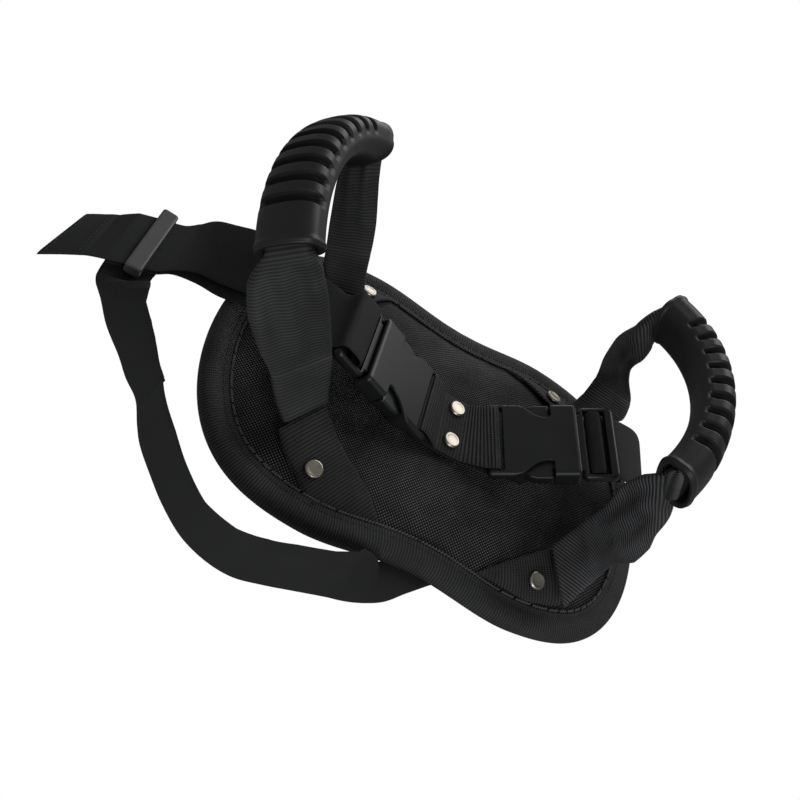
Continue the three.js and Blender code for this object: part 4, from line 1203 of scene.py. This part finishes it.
# How each grip's arc lies over the middle of its two roots: its side of the belt, the lean and the length of
# its rise, its shift in y, its turn and its pitch, and the slope of its bulge. Then where its recesses are
# cut, round the section. Angles are in degrees and lengths in mm.
HANDLES = {
    "left": dict(
        side=-1, lean=33.6, reach=108.3, shift=30.6, yaw=8.4, pitch=-2.1, bulge=38.8,
        ribs_turn=12, ribs_span=78),
    "right": dict(
        side=1, lean=-8, reach=110, shift=-4, yaw=-3.8, pitch=3.8, bulge=34,
        ribs_turn=-38, ribs_span=72),
}
ROOT_RISE = 2 * TAB_THICK + 4 * CLEAR


def root_of(name):
    a, _, _, d = tab_corners(name)
    point = a.lerp(d, 0.5)
    point.z = panel_height(point.x, point.y) + ROOT_RISE
    return point


class HandleLine:
    """The arc that a grip follows."""

    def __init__(self, side):
        h = HANDLES[side]
        yaw, pitch = math.radians(h["yaw"]), math.radians(h["pitch"])
        lean, rise = math.radians(h["lean"]), math.radians(h["bulge"])
        self.chord = Vector((math.sin(yaw), math.cos(yaw), math.sin(pitch))).normalized()
        bulge = Vector((h["side"] * math.cos(rise), 0, math.sin(rise)))
        self.bulge = (bulge - self.chord * bulge.dot(self.chord)).normalized()
        self.normal = self.chord.cross(self.bulge)
        self.middle = root_of(f"{side}_near").lerp(root_of(f"{side}_far"), 0.5)
        self.middle += Vector((h["side"] * math.sin(lean), 0, math.cos(lean))) * h["reach"]
        self.middle.y += h["shift"]
        self.ribs_turn, self.ribs_span = math.radians(h["ribs_turn"]), math.radians(h["ribs_span"])

    def at(self, angle, outward):
        reach = GRIP_RADIUS + outward
        spot = self.middle + self.chord * (reach * math.sin(angle))
        return spot + self.bulge * (reach * math.cos(angle) - GRIP_RADIUS * math.cos(HALF_ARC))


GRIP_SIDES = 56
GRIP_STEPS = 230


def recess_at(share):
    """0 on the ribs and collars, 1 on the floor of a recess."""
    if abs(share) > RECESS_SPAN:
        return 0.0
    part = ((share / RECESS_SPAN + 1) * RECESSES / 2) % 1
    return step_up(0.24, 0.34, part) * (1 - step_up(0.66, 0.76, part))


def rib_cut(line, turn):
    """1 where the recesses are cut round the section, 0 on the plain underside."""
    swung = abs((turn - line.ribs_turn + math.pi) % (2 * math.pi) - math.pi)
    return 1 - step_up(line.ribs_span - 0.22, line.ribs_span, swung)


BORE = ((1, 0.84), (0.985, 0.78), (0.88, 0.75))      # the hollow in each end: shares of the arc, and scales
END_EASE = 0.965                                     # the scale of the end's eased edge
LIP, LIP_AT = 0.9, 0.965                             # a lip round each end, and its share of the arc
SPLIT_GROOVE = 0.5                                   # along the line where the mould's halves met


def grip_ring(line, share, scale=1.0):
    ring = []
    angle = share * HALF_ARC
    lip = LIP * math.exp(-((abs(share) - LIP_AT) / 0.02) ** 2)
    for i in range(GRIP_SIDES):
        turn = 2 * math.pi * i / GRIP_SIDES
        c, s = math.cos(turn), math.sin(turn)
        wide = math.copysign(abs(s) ** 0.8, s)
        tall = math.copysign(abs(c) ** 0.75, c)
        groove = SPLIT_GROOVE * math.exp(-(c / 0.09) ** 2)
        radial = tall * (GRIP_THICK / 2 + lip) * scale
        sideways = wide * (GRIP_BROAD / 2 + lip - groove) * scale
        depth = RECESS_DEPTH * recess_at(share) * rib_cut(line, turn) / max(1.0, math.hypot(radial, sideways))
        ring.append(line.at(angle, radial * (1 - depth)) + line.normal * (sideways * (1 - depth)))
    return ring


def grip(side):
    line = HandleLine(side)
    shares = [-1 + 2 * i / GRIP_STEPS for i in range(GRIP_STEPS + 1)]
    end = [(1, END_EASE), *BORE]
    rings = [grip_ring(line, -share, scale) for share, scale in reversed(end)]
    rings += [grip_ring(line, share) for share in shares]
    rings += [grip_ring(line, share, scale) for share, scale in end]
    points, faces, _ = ring_loft(rings, False, range(len(rings) + 1), range(GRIP_SIDES + 1))
    made = piece(f"handle_{side}_moulded_grip", points, faces, rubber)
    # The recess floors take the darker rubber: painted shade for the shadow in the recesses.
    made.data.materials.append(recess_painted_shade_rubber)
    for i, share in enumerate(shares[:-1]):
        for j in range(GRIP_SIDES):
            if recess_at(share) * rib_cut(line, 2 * math.pi * (j + 0.5) / GRIP_SIDES) > 0.45:
                made.data.polygons[(len(end) + i) * GRIP_SIDES + j].material_index = 1
    seat(made, f"handle_{side}", "grip_rubber", f"handle_{side}_grip")


# Each riser from its fold on the tab up to the grip's mouth: the direction of the fold, then the middle
# and the width of each cut.
RISERS = {
    "left_near": ((0.57, 0.82, 0), (
        (-99.9, -55.0, 34, 36), (-106.1, -49.3, 40, 40), (-116.7, -42.4, 56, 42), (-128.9, -42.9, 72, 44),
        (-142.2, -41.6, 90, 45), (-152.3, -37.1, 104, 43), (-155.8, -35.3, 111, 38))),
    "left_far": ((0.93, 0.36, 0), (
        (-100.3, 57.0, 29, 31), (-107.9, 65.7, 42, 31), (-113.2, 72.5, 56, 31), (-120.3, 76.7, 72, 30),
        (-131.8, 84.2, 96, 27), (-135.9, 96.3, 107, 25))),
    "right_near": ((0.31, -0.95, 0), (
        (92.3, -74.2, 27, 42), (101.5, -59.5, 40, 39), (104.9, -52.5, 60, 36), (103.8, -54.5, 80, 48),
        (102.8, -55.3, 98, 50), (103.2, -54.3, 110, 46), (103.8, -48.1, 119, 40))),
    "right_far": ((1.0, 0.1, 0), (
        (106.9, 76.0, 25.5, 34), (116.8, 81.0, 34, 42), (113.4, 88.3, 52, 40), (101.6, 88.4, 68, 36),
        (91.0, 81.7, 88, 34), (87.0, 73.0, 108, 34), (87.2, 76.2, 123, 31))),
}


def handle_stations(side):
    line = HandleLine(side)

    def rise(end, mouth):
        fold, cuts = RISERS[f"{side}_{end}"]
        fold = Vector(fold) * math.copysign(1, Vector(fold).dot(line.normal))
        made = []
        for i, (x, y, z, width) in enumerate(cuts):
            made.append(Station((x, y, z), fold.lerp(line.normal, (i / (len(cuts) - 1)) ** 1.4), width))
        return made + [Station(line.at(mouth, 0), line.normal, RISER_WAIST)]

    inside = [Station(line.at(i / 7 * HALF_ARC, 0), line.normal, RISER_WAIST) for i in range(-6, 7)]
    return rise("near", -HALF_ARC) + inside + rise("far", HALF_ARC)[::-1]


DOUBLED = 30                      # the webbing's end is turned back on itself and sewn
MOUTH = (84, 104)                 # where along a riser the webbing goes into the grip
RIPPLE, SLOW_WAVE = 1.5, 2.0
BIAS = 14


def gathered(seed):
    """Lengthwise folds that grow where the webbing is gathered into the grip, over a slow wave."""
    def fold(along, total, side):
        reach = min(along, total - along)
        free = 1 - step_up(*MOUTH, reach)
        ripple = RIPPLE * step_up(30, 75, reach) * free * math.cos(2.6 * math.pi * side + seed)
        slow = SLOW_WAVE * step_up(4, 30, reach) * free
        return ripple + slow * noise.noise(Vector((along / 22, side * 1.3, seed)))
    return fold


def bunched(along, total, _side):
    """The webbing is doubled at its sewn ends, and fills the grip's mouth where it is folded up."""
    reach = min(along, total - along)
    return 1 + 2.2 * step_up(70, 98, reach) + 0.95 * (1 - step_up(DOUBLED - 1.5, DOUBLED, reach))


def bias(along, _total, side):
    """The near ends are folded over on the bias, so their ribs lean."""
    return -BIAS * (side + 1) * (1 - step_up(22, 60, along))


def handle_webbing(side):
    line = resampled(handle_stations(side), 2.0, passes=8)
    web, seed, skew = (worn_web, 3, flat) if side == "left" else (handle_web, 5, bias)
    made = strap(
        f"handle_{side}_webbing_riser", line, RISER_THICK, web, fold=gathered(seed), swell=bunched, skew=skew)
    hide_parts(f"handle_{side}_webbing")
    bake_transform(made)


# Studio
AMBIENT = 0.2       # the white surroundings, as dark things see them
# Each lamp's name, place, size and power, all aimed at the panel: two behind the belt for the light lines on
# the rims and two in front that fill the weave.
LAMPS = (
    ("back_softbox", (0.5, 0.95, 0.95), 0.9, 6.5),
    ("back_strip", (0.1, 1.3, 0.2), 0.4, 1.5),
    ("near_softbox", (0.25, -1.0, 0.9), 0.4, 3.0),
    ("front_strip", (-0.1, -1.3, 0.25), 0.3, 3.5),
)


def studio():
    scene = bpy.context.scene
    scene.view_settings.view_transform = "Standard"
    world = bpy.data.worlds.new("studio")
    scene.world = world
    world.use_nodes = True
    tree = world.node_tree
    path = node(tree, "ShaderNodeLightPath")
    seen = path.outputs["Is Camera Ray"]
    strength = node(tree, "ShaderNodeMapRange", inputs={"Value": seen, "To Min": AMBIENT, "To Max": 1.0})
    background = tree.nodes["Background"]
    background.inputs["Color"].default_value = linear("#ffffff")
    tree.links.new(strength.outputs[0], background.inputs["Strength"])
    for name, spot, size, power in LAMPS:
        lamp = bpy.data.lights.new(name, "AREA")
        lamp.shape = "SQUARE"
        lamp.size = size
        lamp.energy = power
        made = bpy.data.objects.new(name, lamp)
        made.location = spot
        made.rotation_euler = (-Vector(spot)).to_track_quat("-Z", "Y").to_euler()
        scene.collection.objects.link(made)


studio()
blown_pad()
lining()
edge_binding()
for tab_name in TAB_LOOKS:
    tab_patch(tab_name)
rivets()
centre_webbing()
for buckle_side in ("left", "right"):
    female(buckle_side)
    male(buckle_side)
    near_sign = 1 if buckle_side == "left" else -1
    prong(buckle_side, near_sign, "near")
    prong(buckle_side, -near_sign, "far")
    grip(buckle_side)
    handle_webbing(buckle_side)
keeper()
waist_strap()
